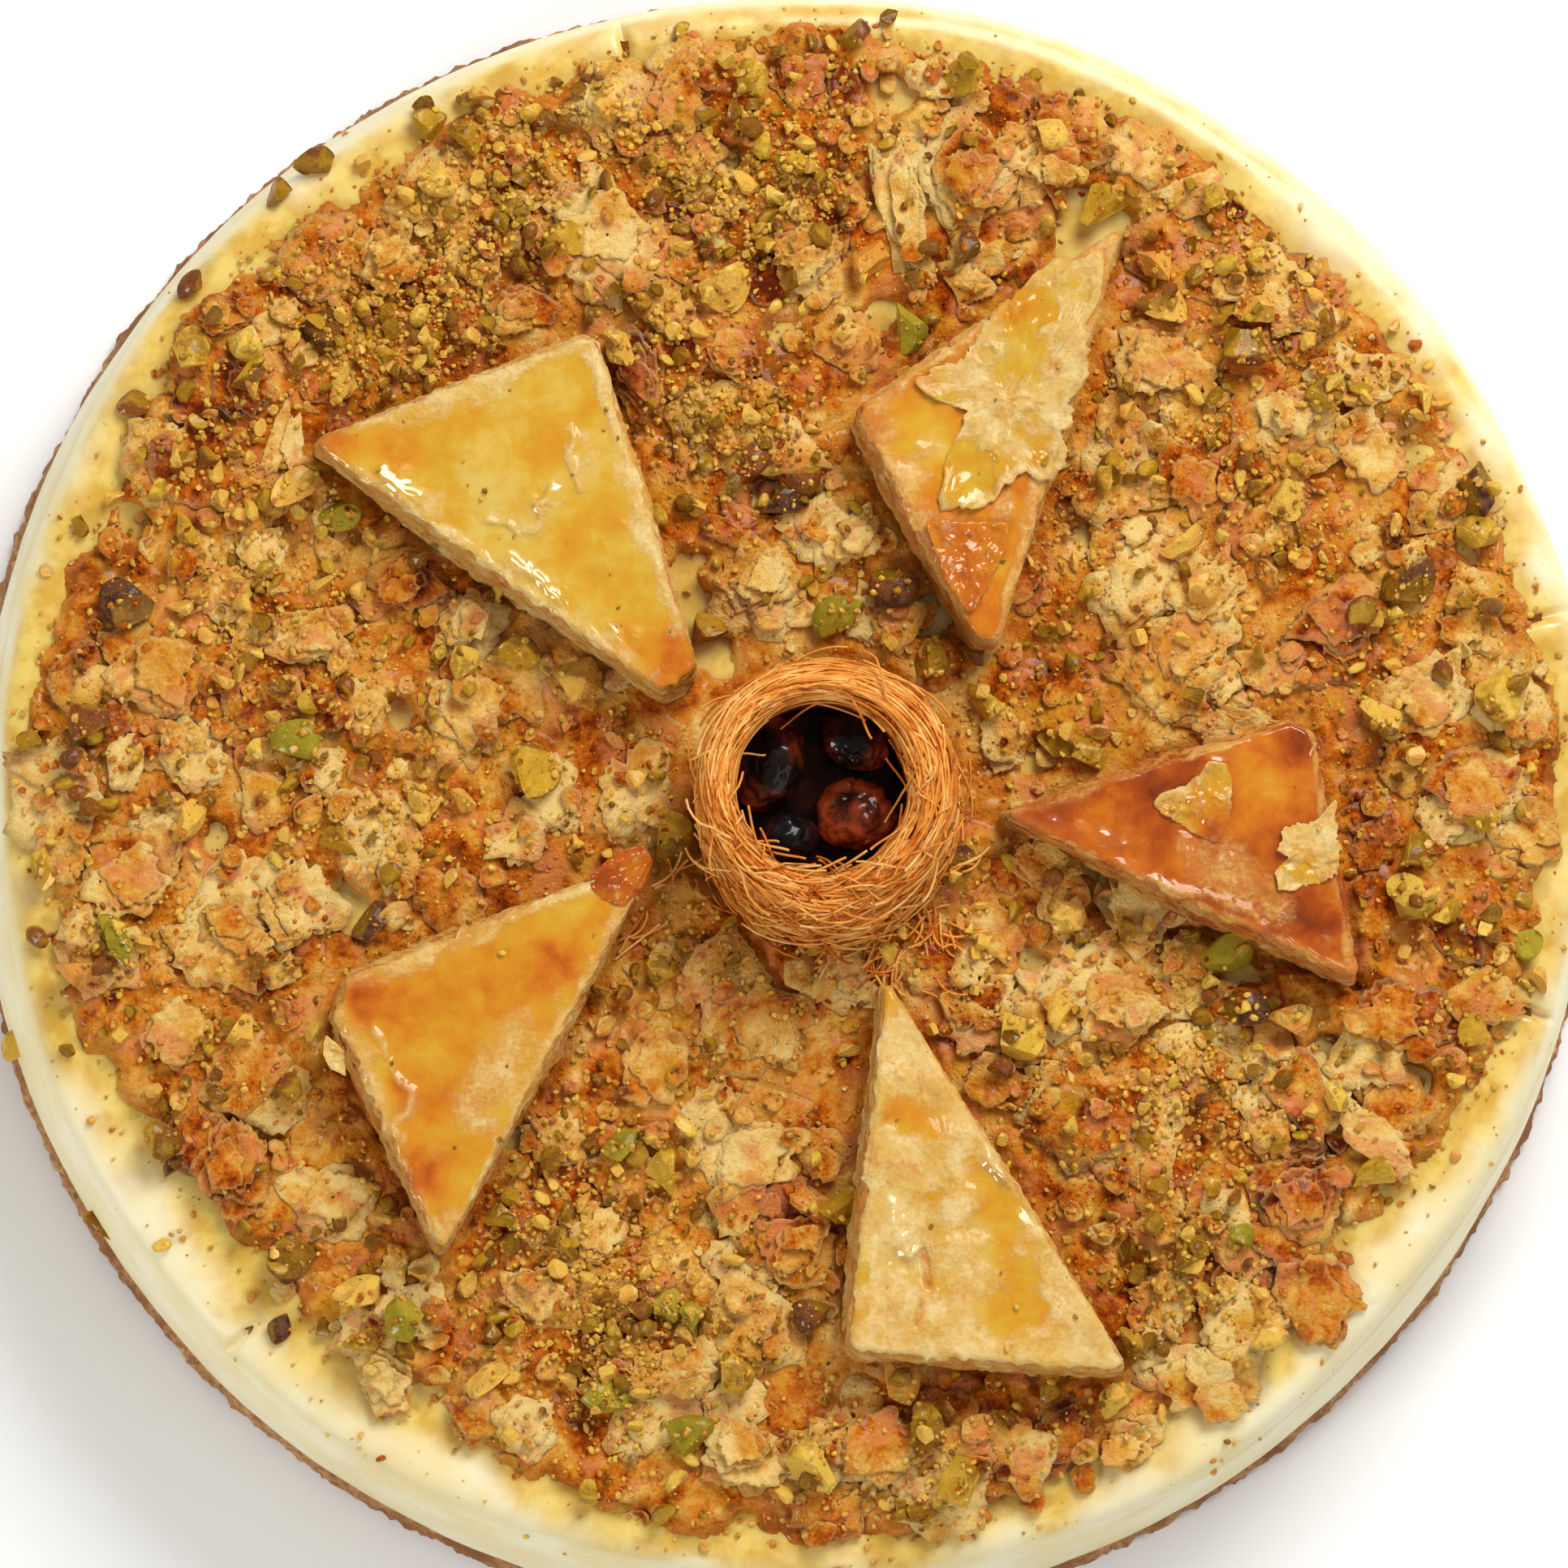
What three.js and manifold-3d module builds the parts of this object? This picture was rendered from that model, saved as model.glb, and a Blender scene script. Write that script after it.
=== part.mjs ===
import * as THREE from "three";
import { mergeVertices } from "three/addons/utils/BufferGeometryUtils.js";
import { ConvexGeometry } from "three/addons/geometries/ConvexGeometry.js";
import Module from "manifold-3d";

// A round baklava cheesecake: a biscuit base, a pale cream body, a topping of crumbled baklava and
// chopped pistachios, five baklava triangles in a star, and a nest of fine pastry shreds that holds
// glazed nuts. Millimetres, +Z up, origin at the middle of the base's underside.

// Driving dimensions
const baseRadius = 127;
const baseHeight = 6.5;
const creamTop = 40;
const creamFootRadius = 124.6;
const creamRimRadius = 119;
const seatHeight = 42;
const restHeight = seatHeight + 0.1;
const toppingRadius = 112.2;
const pastryThickness = 12;
const seatGap = 0.6;
const nest = { x: 2.8, y: -2, rim: 20.2, hole: 12.8, foot: 21.6, height: 22, floor: 4 };

// The corners of each baklava triangle's upper face, as x, y; blunt holds how far each is cut off.
const triangles = [
  { corners: [[-31.8, 67.5], [-74, 50], [-16.9, 11.4]], blunt: [2.5, 2.5, 6.5] },
  { corners: [[49, 84.2], [8.2, 55.6], [28.6, 16.6]], blunt: [2.5, 2.5, 6.5] },
  { corners: [[29.9, -5.3], [76.6, 9.8], [84, -30.4]], blunt: [2, 4, 2] },
  { corners: [[12.8, -30.2], [7, -86.3], [49.5, -89.2]], blunt: [2, 2.5, 2.5] },
  { corners: [[-22, -12], [-71.8, -31.5], [-53.8, -72.1]], blunt: [5.5, 6.5, 2.5] },
];

// The largest crumbled pastry flakes: x, y, length, width, turn in degrees.
const mainFlakes = [
  [-30, 85, 20, 12, -40], [15.7, 87, 26, 8, 98], [96, 14, 15, 14, 20], [-70, -63.5, 14, 13, 0],
  [-101, -15, 13, 12, 60], [-7, -56.5, 17, 13, 30], [51, -18, 15, 13, -45], [50.5, -34, 16, 11, 10],
  [75.5, -63, 16, 15, 50], [-18, 104, 14, 11, 70], [-42, 72, 13, 10, 0], [78, -77, 15, 14, 80],
  [-85, -58.5, 16, 12, 70], [90, -35, 16, 12, 15], [55, 64, 17, 12, -30], [-60.5, 30, 13, 11, 20],
  [-49.5, 24, 10, 9, 50], [0, -70, 12, 11, 0], [12, -101, 15, 12, 40], [-8.5, -100.5, 13, 11, 0],
  [62, -90.5, 16, 11, -25], [88, -54.5, 17, 8, -70], [-17.5, -89.5, 14, 8, 10], [31.5, 6, 9, 8, 70],
  [37.5, -12, 13, 10, -20], [83, 26.5, 15, 12, 35], [-5, 32, 13, 12, 60], [2, 80, 12, 12, 10],
  [25.5, 93, 14, 14, 80], [104, 0, 13, 13, 45], [-77.5, 52, 12, 5, 75], [-95, 16.5, 13, 12, 15],
  [-93.5, -37.5, 12, 11, 40],
];

// The largest pistachio pieces: x, y, length, width, turn in degrees.
const mainNuts = [
  [7.2, 25, 9, 7, 15], [26, 82, 8, 7, 40], [47, 88.5, 8, 7, 80], [16.5, 69.5, 8, 7, 60],
  [11, 81, 8, 6, 100], [-11, 76, 8, 7.5, 0], [-56, 100, 7, 6, 20], [-51, 98, 7, 6, 50],
  [-55.5, 93, 9, 5, -50], [-29, 103.5, 7, 5, 70], [-7, 107, 7, 6.5, 15], [25.5, 107.5, 7, 6, 0],
  [-92, 64, 9, 6, 80], [-83, 61.5, 8, 5, 20], [-68.5, 60, 10, 6.5, -15], [-75, 44.5, 9, 5, 35],
  [-70, 39.5, 8, 4.5, 10], [-101.5, 27, 8, 7, 0], [-107.5, 8.5, 9, 7, 80], [-76, 6, 8, 7, 30],
  [-41, 1.5, 10, 8, 20], [-34, 16, 9, 7, 30], [-20, -8, 8, 8, 0], [-65, -21.5, 8.5, 8, 60],
  [-76, -72, 8, 7, 30], [-65.5, -77.5, 7.5, 7, 15], [-59, -82, 8, 6.5, 70], [6.2, -64.5, 10, 6.5, 100],
  [3, -80, 8, 7.5, 0], [-21.5, -28.5, 7.5, 7, 45], [-29, -93, 13, 5.5, -25], [-17, -99, 9, 6, 10],
  [19.5, -96.5, 8, 7.5, 0], [24, -107, 11, 6, 80], [65, -25.5, 8, 7.5, 80], [67, -34.5, 8.5, 8, 40],
  [33, -38, 8.5, 8, 60], [59, -70, 9, 7, 0], [92, -17, 9.5, 6.5, -20], [107, 14.5, 9, 7.5, 70],
  [104, 45.5, 9, 7, 110], [92, 30, 11, 8, 0], [74.5, 44.5, 9, 7.5, 70], [67, 68, 10, 7.5, -30],
  [55.5, 80.5, 10, 6, -65], [40.5, 7, 10, 6, -5], [29, 11.5, 10, 4.5, -50], [15, 30, 7.5, 7.5, 0],
  [-7, 50, 8, 6.5, 60], [-12.5, 24, 7.5, 6, 80], [23, -14.5, 8.5, 8, 60],
];

const smallFlakeCount = 44;
const smallNutCount = 26;

const wasm = await Module();
wasm.setup();

// Seeded random numbers, so that every build gives the same cake.
function randomFrom(seed) {
  let state = seed >>> 0;
  return () => {
    state = (state + 0x6d2b79f5) >>> 0;
    let t = Math.imul(state ^ (state >>> 15), 1 | state);
    t = (t + Math.imul(t ^ (t >>> 7), 61 | t)) ^ t;
    return ((t ^ (t >>> 14)) >>> 0) / 4294967296;
  };
}

// A closed geometry as a solid for joining and cutting.
function toSolid(geometry) {
  const bare = geometry.index ? geometry.toNonIndexed() : geometry.clone();
  bare.deleteAttribute("normal");
  bare.deleteAttribute("uv");
  const merged = mergeVertices(bare, 1e-4);
  const solid = new wasm.Manifold(
    new wasm.Mesh({
      numProp: 3,
      vertProperties: new Float32Array(merged.attributes.position.array),
      triVerts: new Uint32Array(merged.index.array),
    }),
  );
  return solid;
}

function toGeometry(solid) {
  const mesh = solid.getMesh();
  const geometry = new THREE.BufferGeometry();
  geometry.setAttribute("position", new THREE.BufferAttribute(new Float32Array(mesh.vertProperties), 3));
  geometry.setIndex(new THREE.BufferAttribute(new Uint32Array(mesh.triVerts), 1));
  return geometry;
}

// The largest of the separate bodies that a cut leaves; loose scraps are dropped.
function largestBody(solid) {
  const parts = solid.decompose();
  return parts.reduce((best, part) => (part.volume() > best.volume() ? part : best), parts[0]);
}

function joinAll(solids) {
  let joined = solids[0];
  for (const solid of solids.slice(1)) {
    joined = joined.add(solid);
  }
  return joined;
}

// Moves every vertex of a geometry by a rule that depends on its place alone.
function bend(geometry, rule) {
  const position = geometry.attributes.position;
  const point = new THREE.Vector3();
  for (let i = 0; i < position.count; i += 1) {
    point.fromBufferAttribute(position, i);
    rule(point);
    position.setXYZ(i, point.x, point.y, point.z);
  }
  return geometry;
}

function degrees(value) {
  return (value * Math.PI) / 180;
}

// A slow uneven wave over the cake, between about -1 and 1.
function unevenness(x, y, scale) {
  const u = x / scale;
  const v = y / scale;
  return (
    0.4 * Math.sin(1.3 * u + 0.9 * v + 0.7) +
    0.35 * Math.sin(-0.8 * u + 1.9 * v + 2.1) +
    0.25 * Math.sin(2.7 * u - 1.6 * v + 4.0)
  );
}

// How far the cream's rim leans off the base's centre, and its slow waves round the cake.
function rimWave(angle) {
  return 0.6 * Math.sin(2 * angle + 0.6) + 0.5 * Math.sin(5 * angle + 1.2) + 0.3 * Math.sin(11 * angle);
}

// The base: a disc of pressed biscuit crumbs whose edge is rough, and full width on both axes.
function makeBase() {
  const profile = [
    [0, 0],
    [123.5, 0],
    [126.2, 0.8],
    [127, 2.6],
    [126.4, 4.6],
    [125.2, baseHeight],
    [0, baseHeight],
  ].map(([r, z]) => new THREE.Vector2(r, z));
  const segments = 56;
  const geometry = new THREE.LatheGeometry(profile, segments).rotateX(Math.PI / 2);
  const random = randomFrom(11);
  const rough = Array.from({ length: segments }, () => random() * 1.5);
  for (const quarter of [0, 1, 2, 3]) {
    rough[(quarter * segments) / 4] = 0;
  }
  return bend(geometry, (point) => {
    const radius = Math.hypot(point.x, point.y);
    if (radius < 120) {
      return;
    }
    const angle = Math.atan2(point.y, point.x);
    const place = (Math.round((angle / (2 * Math.PI)) * segments) + segments) % segments;
    const shrink = (radius - rough[place]) / radius;
    point.x *= shrink;
    point.y *= shrink;
  });
}

// The cream body: straight sides that lean in a little, a lip below the rim and a soft shoulder.
function creamProfile() {
  const points = [
    [0, baseHeight],
    [creamFootRadius, baseHeight],
    [124.2, 14],
    [123.2, 24],
    [122.3, 33],
    [121.2, 34.4],
    [121.5, 35.6],
    [121.1, 37.6],
    [120.2, 39],
    [creamRimRadius - 0.6, 39.8],
    [116.4, creamTop + 0.35],
    [112.5, creamTop],
    [0, creamTop],
  ];
  return points.map(([r, z]) => new THREE.Vector2(r, z));
}

// The shallow marks where the cake was cut into portions, shown by their angles and reach.
const portionCuts = [
  { angle: 103, from: 112, width: 1.6, depth: 2.2 },
  { angle: 225, from: 114, width: 1.4, depth: 3.5 },
  { angle: 13, from: 108, width: 1.8, depth: 1.8 },
  { angle: 343, from: 110, width: 1.4, depth: 2.4 },
];

function makeCream() {
  const geometry = new THREE.LatheGeometry(creamProfile(), 54).rotateX(Math.PI / 2);
  bend(geometry, (point) => {
    const radius = Math.hypot(point.x, point.y);
    if (radius < 114) {
      return;
    }
    const angle = Math.atan2(point.y, point.x);
    const rise = (point.z - baseHeight) / (creamTop - baseHeight);
    const grow = (radius + rise * rimWave(angle) - 0.3 * (1 - rise)) / radius;
    point.x *= grow;
    point.y *= grow;
  });
  let body = toSolid(geometry);
  for (const cut of portionCuts) {
    const length = baseRadius + 6 - cut.from;
    const groove = new THREE.Shape([
      new THREE.Vector2(-cut.width / 2, 1),
      new THREE.Vector2(0, -cut.depth),
      new THREE.Vector2(cut.width / 2, 1),
    ]);
    const wedge = new THREE.ExtrudeGeometry(groove, { depth: length, bevelEnabled: false, steps: 1 })
      .rotateX(Math.PI / 2)
      .rotateZ(Math.PI / 2)
      .translate(cut.from, 0, creamTop)
      .rotateZ(degrees(cut.angle));
    body = body.subtract(toSolid(wedge));
  }
  return largestBody(body);
}

function middleOf(triangle) {
  const sum = new THREE.Vector2();
  triangle.corners.forEach(([x, y]) => sum.add(new THREE.Vector2(x, y)));
  return sum.divideScalar(3);
}

// The outline of a baklava triangle: corners cut blunt, long sides slightly ragged, grown by a margin.
function pastryOutline(triangle, margin, rag, seed) {
  const random = randomFrom(seed);
  const corners = triangle.corners.map(([x, y]) => new THREE.Vector2(x, y));
  const middle = middleOf(triangle);
  const points = [];
  corners.forEach((corner, i) => {
    const before = corners[(i + 2) % 3].clone().sub(corner).normalize();
    const after = corners[(i + 1) % 3].clone().sub(corner).normalize();
    const cut = triangle.blunt[i];
    points.push(corner.clone().addScaledVector(before, cut * 0.75));
    points.push(corner.clone().addScaledVector(before.add(after), cut * 0.16));
    points.push(corner.clone().addScaledVector(after, cut * 0.75));
    const next = corners[(i + 1) % 3];
    const side = next.clone().sub(corner);
    const pieces = 4;
    for (let k = 1; k < pieces; k += 1) {
      const point = corner.clone().addScaledVector(side, k / pieces);
      point.x += (random() - 0.5) * rag;
      point.y += (random() - 0.5) * rag;
      points.push(point);
    }
  });
  return points.map((point, i) => {
    const before = points[(i + points.length - 1) % points.length];
    const after = points[(i + 1) % points.length];
    const outward = new THREE.Vector2(after.y - before.y, before.x - after.x).normalize();
    const side = Math.sign(outward.dot(point.clone().sub(middle)));
    return point.clone().addScaledVector(outward, side * margin);
  });
}

function slab(outline, low, high) {
  const options = { depth: high - low, bevelEnabled: false, steps: 1 };
  return new THREE.ExtrudeGeometry(new THREE.Shape(outline), options).translate(0, 0, low);
}

// A slab whose upper face is smaller than its lower one, drawn in towards a middle point.
function taperedSlab(outline, low, high, middle, inset) {
  return bend(slab(outline, low, high), (point) => {
    if (point.z > (low + high) / 2) {
      const reach = Math.hypot(point.x - middle.x, point.y - middle.y);
      point.x = middle.x + (point.x - middle.x) * (1 - inset / reach);
      point.y = middle.y + (point.y - middle.y) * (1 - inset / reach);
    }
  });
}

// A thin wavy leaf of pastry, with a jagged outline; both faces are split alike.
function leaf(x, y, z, length, width, turn, thickness, tilt, seed, count = 8) {
  const random = randomFrom(seed);
  const outline = [];
  for (let i = 0; i < count; i += 1) {
    const angle = ((i + 0.35 * random()) / count) * 2 * Math.PI;
    const reach = 0.78 + 0.34 * random();
    outline.push(
      new THREE.Vector2(0.5 * length * reach * Math.cos(angle), 0.5 * width * reach * Math.sin(angle)),
    );
  }
  const geometry = slab(outline, -thickness / 2, thickness / 2);
  const curl = (random() - 0.4) * 0.02;
  const phase = random() * 6;
  bend(geometry, (point) => {
    point.z += curl * point.x * point.x + 0.35 * Math.sin(0.6 * point.y + phase);
  });
  geometry.rotateX(tilt * (random() - 0.5));
  geometry.rotateY(tilt * (random() - 0.5));
  geometry.rotateZ(degrees(turn));
  return geometry.translate(x, y, z);
}

// A chopped pistachio piece: the hull of a few points round an oval.
function nutPiece(x, y, z, length, width, turn, seed) {
  const random = randomFrom(seed);
  const points = [];
  const count = 10;
  for (let i = 0; i < count; i += 1) {
    const height = 1 - (2 * (i + 0.5)) / count;
    const ring = Math.sqrt(1 - height * height);
    const angle = i * 2.4 + random();
    const reach = 0.8 + 0.3 * random();
    points.push(
      new THREE.Vector3(
        0.5 * length * ring * Math.cos(angle) * reach,
        0.5 * width * ring * Math.sin(angle) * reach,
        0.4 * width * height * reach,
      ),
    );
  }
  const geometry = new ConvexGeometry(points);
  geometry.rotateX(0.6 * (random() - 0.5));
  geometry.rotateZ(degrees(turn));
  return geometry.translate(x, y, z);
}

// The uneven outer edge of the topping: nearly at the rim on the right and at the back, and drawn
// back the most at the front left.
function toppingEdge(angle) {
  return (
    toppingRadius +
    1.2 * Math.cos(angle) +
    1.6 * Math.sin(angle) +
    0.5 * Math.sin(3 * angle) +
    2.2 * Math.cos(4 * angle) +
    0.9 * Math.sin(13 * angle + 0.4)
  );
}

function toppingHeight(x, y) {
  return seatHeight + 1.1 + 0.7 * unevenness(x, y, 9) + 0.5 * unevenness(y, x, 4);
}

// The bed of crumbs that the larger pieces lie on.
function toppingCore() {
  const profile = [[0, creamTop], [1.005, creamTop]];
  for (const share of [1, 0.94, 0.83, 0.71, 0.58, 0.45, 0.32, 0.16, 0]) {
    profile.push([share, seatHeight]);
  }
  const points = profile.map(([r, z]) => new THREE.Vector2(r, z));
  const geometry = new THREE.LatheGeometry(points, 48).rotateX(Math.PI / 2);
  return bend(geometry, (point) => {
    const share = Math.hypot(point.x, point.y);
    const angle = Math.atan2(point.y, point.x);
    const edge = toppingEdge(angle);
    point.x *= edge;
    point.y *= edge;
    if (point.z > creamTop + 0.5) {
      const top = toppingHeight(point.x, point.y);
      point.z = share > 0.97 ? creamTop + 1.0 : top;
    }
  });
}

// What stands on the topping, with a little room round it, from the seat upwards.
function seatCuts() {
  const cuts = triangles.map((triangle, i) =>
    toSolid(slab(pastryOutline(triangle, 2.1 + seatGap, 0, 50 + i), seatHeight, 90)),
  );
  const round = new THREE.CylinderGeometry(nest.foot + 1.2, nest.foot + 1.2, 50, 40).rotateX(Math.PI / 2);
  cuts.push(toSolid(round.translate(nest.x, nest.y, seatHeight + 25)));
  return cuts;
}

// The cream's upper side as the topping meets it: level, then a raised band under the edge.
function creamCut() {
  const bandRadius = 112;
  const bandHeight = creamTop + 0.8;
  const profile = [
    [0, creamTop - 15],
    [baseRadius + 10, creamTop - 15],
    [baseRadius + 10, bandHeight],
    [bandRadius, bandHeight],
    [bandRadius, creamTop],
    [0, creamTop],
  ].map(([r, z]) => new THREE.Vector2(r, z));
  return toSolid(new THREE.LatheGeometry(profile, 48).rotateX(Math.PI / 2));
}

function makeTopping() {
  const pieces = [toSolid(toppingCore())];
  mainFlakes.forEach(([x, y, length, width, turn], i) => {
    const z = toppingHeight(x, y) + 0.9;
    pieces.push(toSolid(leaf(x, y, z, length, width, turn, 1.3, 0.35, 100 + i)));
  });
  mainNuts.forEach(([x, y, length, width, turn], i) => {
    const z = toppingHeight(x, y) + 0.25 * width;
    pieces.push(toSolid(nutPiece(x, y, z, length, width, turn, 300 + i)));
  });
  const random = randomFrom(77);
  for (let i = 0; i < smallFlakeCount + smallNutCount; i += 1) {
    const angle = random() * 2 * Math.PI;
    const radius = Math.sqrt(0.05 + 0.95 * random()) * (toppingEdge(angle) - 3);
    const [x, y] = [radius * Math.cos(angle), radius * Math.sin(angle)];
    const turn = random() * 360;
    const z = toppingHeight(x, y);
    if (i < smallFlakeCount) {
      const length = 8 + 5 * random();
      pieces.push(toSolid(leaf(x, y, z + 1.2, length, 0.7 * length, turn, 1.2, 0.9, 600 + i, 6)));
    } else {
      const length = 4.5 + 2.5 * random();
      pieces.push(toSolid(nutPiece(x, y, z + 0.9, length, 0.8 * length, turn, 600 + i)));
    }
  }
  let topping = joinAll(pieces);
  for (const cut of [creamCut(), ...seatCuts()]) {
    topping = topping.subtract(cut);
  }
  return largestBody(topping);
}

// A baklava triangle: stacked sheets whose sides step in and out and lean in towards the top.
function makePastry(triangle, index) {
  const sheets = [
    { low: 0, high: 3.4, margin: 1.7, rag: 0.8 },
    { low: 3.2, high: 6.8, margin: 0.9, rag: 1.2 },
    { low: 6.6, high: 9.9, margin: 1.1, rag: 1.1 },
  ];
  const seed = 900 + 20 * index;
  const solids = sheets.map(({ low, high, margin, rag }, i) =>
    toSolid(slab(pastryOutline(triangle, margin, rag, seed + i), restHeight + low, restHeight + high)),
  );
  const top = restHeight + pastryThickness;
  const lidOutline = pastryOutline(triangle, 0.6, 0.8, seed + 9);
  solids.push(toSolid(taperedSlab(lidOutline, restHeight + 9.7, top, middleOf(triangle), 1.6)));
  if (index === 1) {
    solids.push(toSolid(leaf(36, 62, top + 0.2, 38, 17, 62, 1.4, 0, seed + 10)));
  }
  if (index === 2) {
    solids.push(toSolid(leaf(62, 1.5, top + 0.3, 11, 6, 30, 1.4, 0.3, seed + 11)));
    solids.push(toSolid(leaf(76, -12, top + 0.3, 12, 8, 75, 1.4, 0.3, seed + 12)));
  }
  return largestBody(joinAll(solids));
}

// The nest: a cup wound from fine shreds, with a few of the strands standing proud.
function makeNest() {
  const { rim, hole, foot, height, floor } = nest;
  const section = [
    [0, 0],
    [foot - 1.6, 0],
    [foot, 3],
    [rim + 0.4, 11],
    [rim, height - 3],
    [rim - 1.6, height - 0.8],
    [rim - 3.8, height],
    [hole + 1.2, height - 0.9],
    [hole, height - 3.4],
    [hole - 1, floor],
    [0, floor],
  ].map(([r, z]) => new THREE.Vector2(r, z));
  const ring = new THREE.LatheGeometry(section, 28).rotateX(Math.PI / 2);
  const solids = [toSolid(ring)];
  const random = randomFrom(4);
  const strandCount = 5;
  for (let i = 0; i < strandCount; i += 1) {
    const start = random() * 2 * Math.PI;
    const sweep = 2.2 + 2.4 * random();
    const low = 2 + (height - 7) * (i / (strandCount - 1));
    const climb = 5 * (random() - 0.5);
    const steps = 9;
    const path = [];
    for (let k = 0; k <= steps; k += 1) {
      const share = k / steps;
      const angle = start + sweep * share;
      const z = Math.min(Math.max(low + climb * share + 0.7 * Math.sin(5 * share + i), 1.2), height - 1.5);
      const loose = share > 0.9 && z > 8 ? 2.4 : 0;
      const reach = (z < 8 ? foot - 0.2 : rim + 0.1) + loose;
      path.push(new THREE.Vector3(reach * Math.cos(angle), reach * Math.sin(angle), z));
    }
    const sides = 4;
    const strand = new THREE.Shape(
      Array.from({ length: sides }, (_, k) => {
        const angle = (k / sides) * 2 * Math.PI;
        return new THREE.Vector2(0.65 * Math.cos(angle), 0.65 * Math.sin(angle));
      }),
    );
    const curve = new THREE.CatmullRomCurve3(path);
    const options = { steps: 11, bevelEnabled: false, extrudePath: curve };
    solids.push(toSolid(new THREE.ExtrudeGeometry(strand, options)));
  }
  const cup = largestBody(joinAll(solids));
  return bend(toGeometry(cup), (point) => {
    point.x += nest.x;
    point.y += nest.y;
    point.z += restHeight;
  });
}

// The glazed nuts in the nest: x and y from its middle, length, width, turn in degrees.
const glazedNuts = [
  [-6.2, 2.8, 11, 9, 80],
  [5.4, -3.8, 10.6, 9.2, 55],
  [3.6, 6.8, 9.6, 7, -35],
  [-4.4, -6.9, 8, 5.8, -20],
];

function makeGlazedNut([dx, dy, length, width, turn], index) {
  const geometry = new THREE.SphereGeometry(1, 9, 6).rotateX(Math.PI / 2);
  bend(geometry, (point) => {
    const groove = 1 - 0.12 * Math.cos(3 * Math.atan2(point.y, point.x) + index);
    point.x *= 0.5 * length * groove;
    point.y *= 0.5 * width * groove;
    point.z *= 0.45 * width;
  });
  geometry.rotateZ(degrees(turn));
  const z = restHeight + nest.floor + 0.45 * width + 0.1;
  return geometry.translate(nest.x + dx, nest.y + dy, z);
}

function paint(colour, roughness) {
  return new THREE.MeshStandardMaterial({ color: colour, roughness, metalness: 0 });
}

function addMesh(group, name, shape, material) {
  const geometry = shape.isBufferGeometry ? shape : toGeometry(shape);
  geometry.computeVertexNormals();
  const mesh = new THREE.Mesh(geometry, material);
  mesh.name = name;
  group.add(mesh);
}

const cake = new THREE.Group();
addMesh(cake, "biscuit_base", makeBase(), paint(0xa9714a, 0.9));
addMesh(cake, "cheesecake", makeCream(), paint(0xf3eabf, 0.45));
addMesh(cake, "baklava_topping", makeTopping(), paint(0xd9a14f, 0.6));
triangles.forEach((triangle, i) => {
  addMesh(cake, `baklava_triangle_${i + 1}`, makePastry(triangle, i), paint(0xdf9a45, 0.35));
});
addMesh(cake, "kataifi_nest", makeNest(), paint(0xd5893c, 0.6));
glazedNuts.forEach((nut, i) => {
  addMesh(cake, `glazed_nut_${i + 1}`, makeGlazedNut(nut, i), paint(0x4a1f12, 0.2));
});

export default cake;
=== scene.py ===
import math

import bpy
import numpy as np
from mathutils import Matrix, Vector


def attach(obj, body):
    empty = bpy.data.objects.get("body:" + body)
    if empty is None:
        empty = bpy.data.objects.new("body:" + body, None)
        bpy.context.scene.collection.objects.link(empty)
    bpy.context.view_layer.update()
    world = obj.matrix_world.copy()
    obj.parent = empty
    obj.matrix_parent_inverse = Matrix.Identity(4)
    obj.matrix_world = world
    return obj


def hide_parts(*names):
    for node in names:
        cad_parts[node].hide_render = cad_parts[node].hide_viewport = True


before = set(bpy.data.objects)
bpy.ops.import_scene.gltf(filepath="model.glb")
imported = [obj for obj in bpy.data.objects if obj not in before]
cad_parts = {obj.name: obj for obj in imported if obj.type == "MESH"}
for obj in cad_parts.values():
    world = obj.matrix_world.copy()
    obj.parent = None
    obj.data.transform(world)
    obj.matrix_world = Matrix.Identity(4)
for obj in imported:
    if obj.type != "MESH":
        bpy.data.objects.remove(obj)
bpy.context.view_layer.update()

# Sizes are in millimetres and become metres as each mesh is made.
mm = 0.001
tau = 2 * math.pi


# Noise, meshes and small helpers

def lattice(points, seed):  # smooth value noise, about -1 to 1
    cell = np.floor(points).astype(np.int64)
    part = points - cell
    ease = part * part * (3 - 2 * part)
    total = np.zeros(len(points))
    for dx in (0, 1):
        for dy in (0, 1):
            for dz in (0, 1):
                code = ((cell[:, 0] + dx) * 374761393 + (cell[:, 1] + dy) * 668265263
                        + (cell[:, 2] + dz) * 1440662683 + seed * 974634777)
                code = (code ^ (code >> 13)) * 1274126177
                value = ((code ^ (code >> 16)) & 0xFFFFFF) / 0x7FFFFF - 1
                weight = ease[:, 0] if dx else 1 - ease[:, 0]
                weight = weight * (ease[:, 1] if dy else 1 - ease[:, 1])
                total += value * weight * (ease[:, 2] if dz else 1 - ease[:, 2])
    return total


def fractal(points, size, octaves=3, seed=0):  # size is the width of the largest lumps
    total, strength = np.zeros(len(points)), 1.0
    scaled = points / size
    for octave in range(octaves):
        total += strength * lattice(scaled + 17.3 * octave, seed + octave)
        strength *= 0.5
        scaled = scaled * 2.03
    return total


def flat(x, y, z=0.0):  # points at x, y, all at height z or each at its own
    return np.stack([x, y, np.zeros_like(x) + z], 1)


def polar(radius, angle, height):  # points round the z axis
    return np.stack([radius * np.cos(angle), radius * np.sin(angle), height], 1)


def squareGrid(line):  # x and y of a level grid with the same steps both ways
    return [g.ravel() for g in np.meshgrid(line, line, indexing="ij")]


def evenAngles(count):  # round a full circle
    return np.arange(count) / count * tau


def clamp(value):
    return np.clip(value, 0, 1)


def bell(gap, width):  # 1 where the gap is 0, falling away over the width
    return np.exp(-((gap / width) ** 2))


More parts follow.
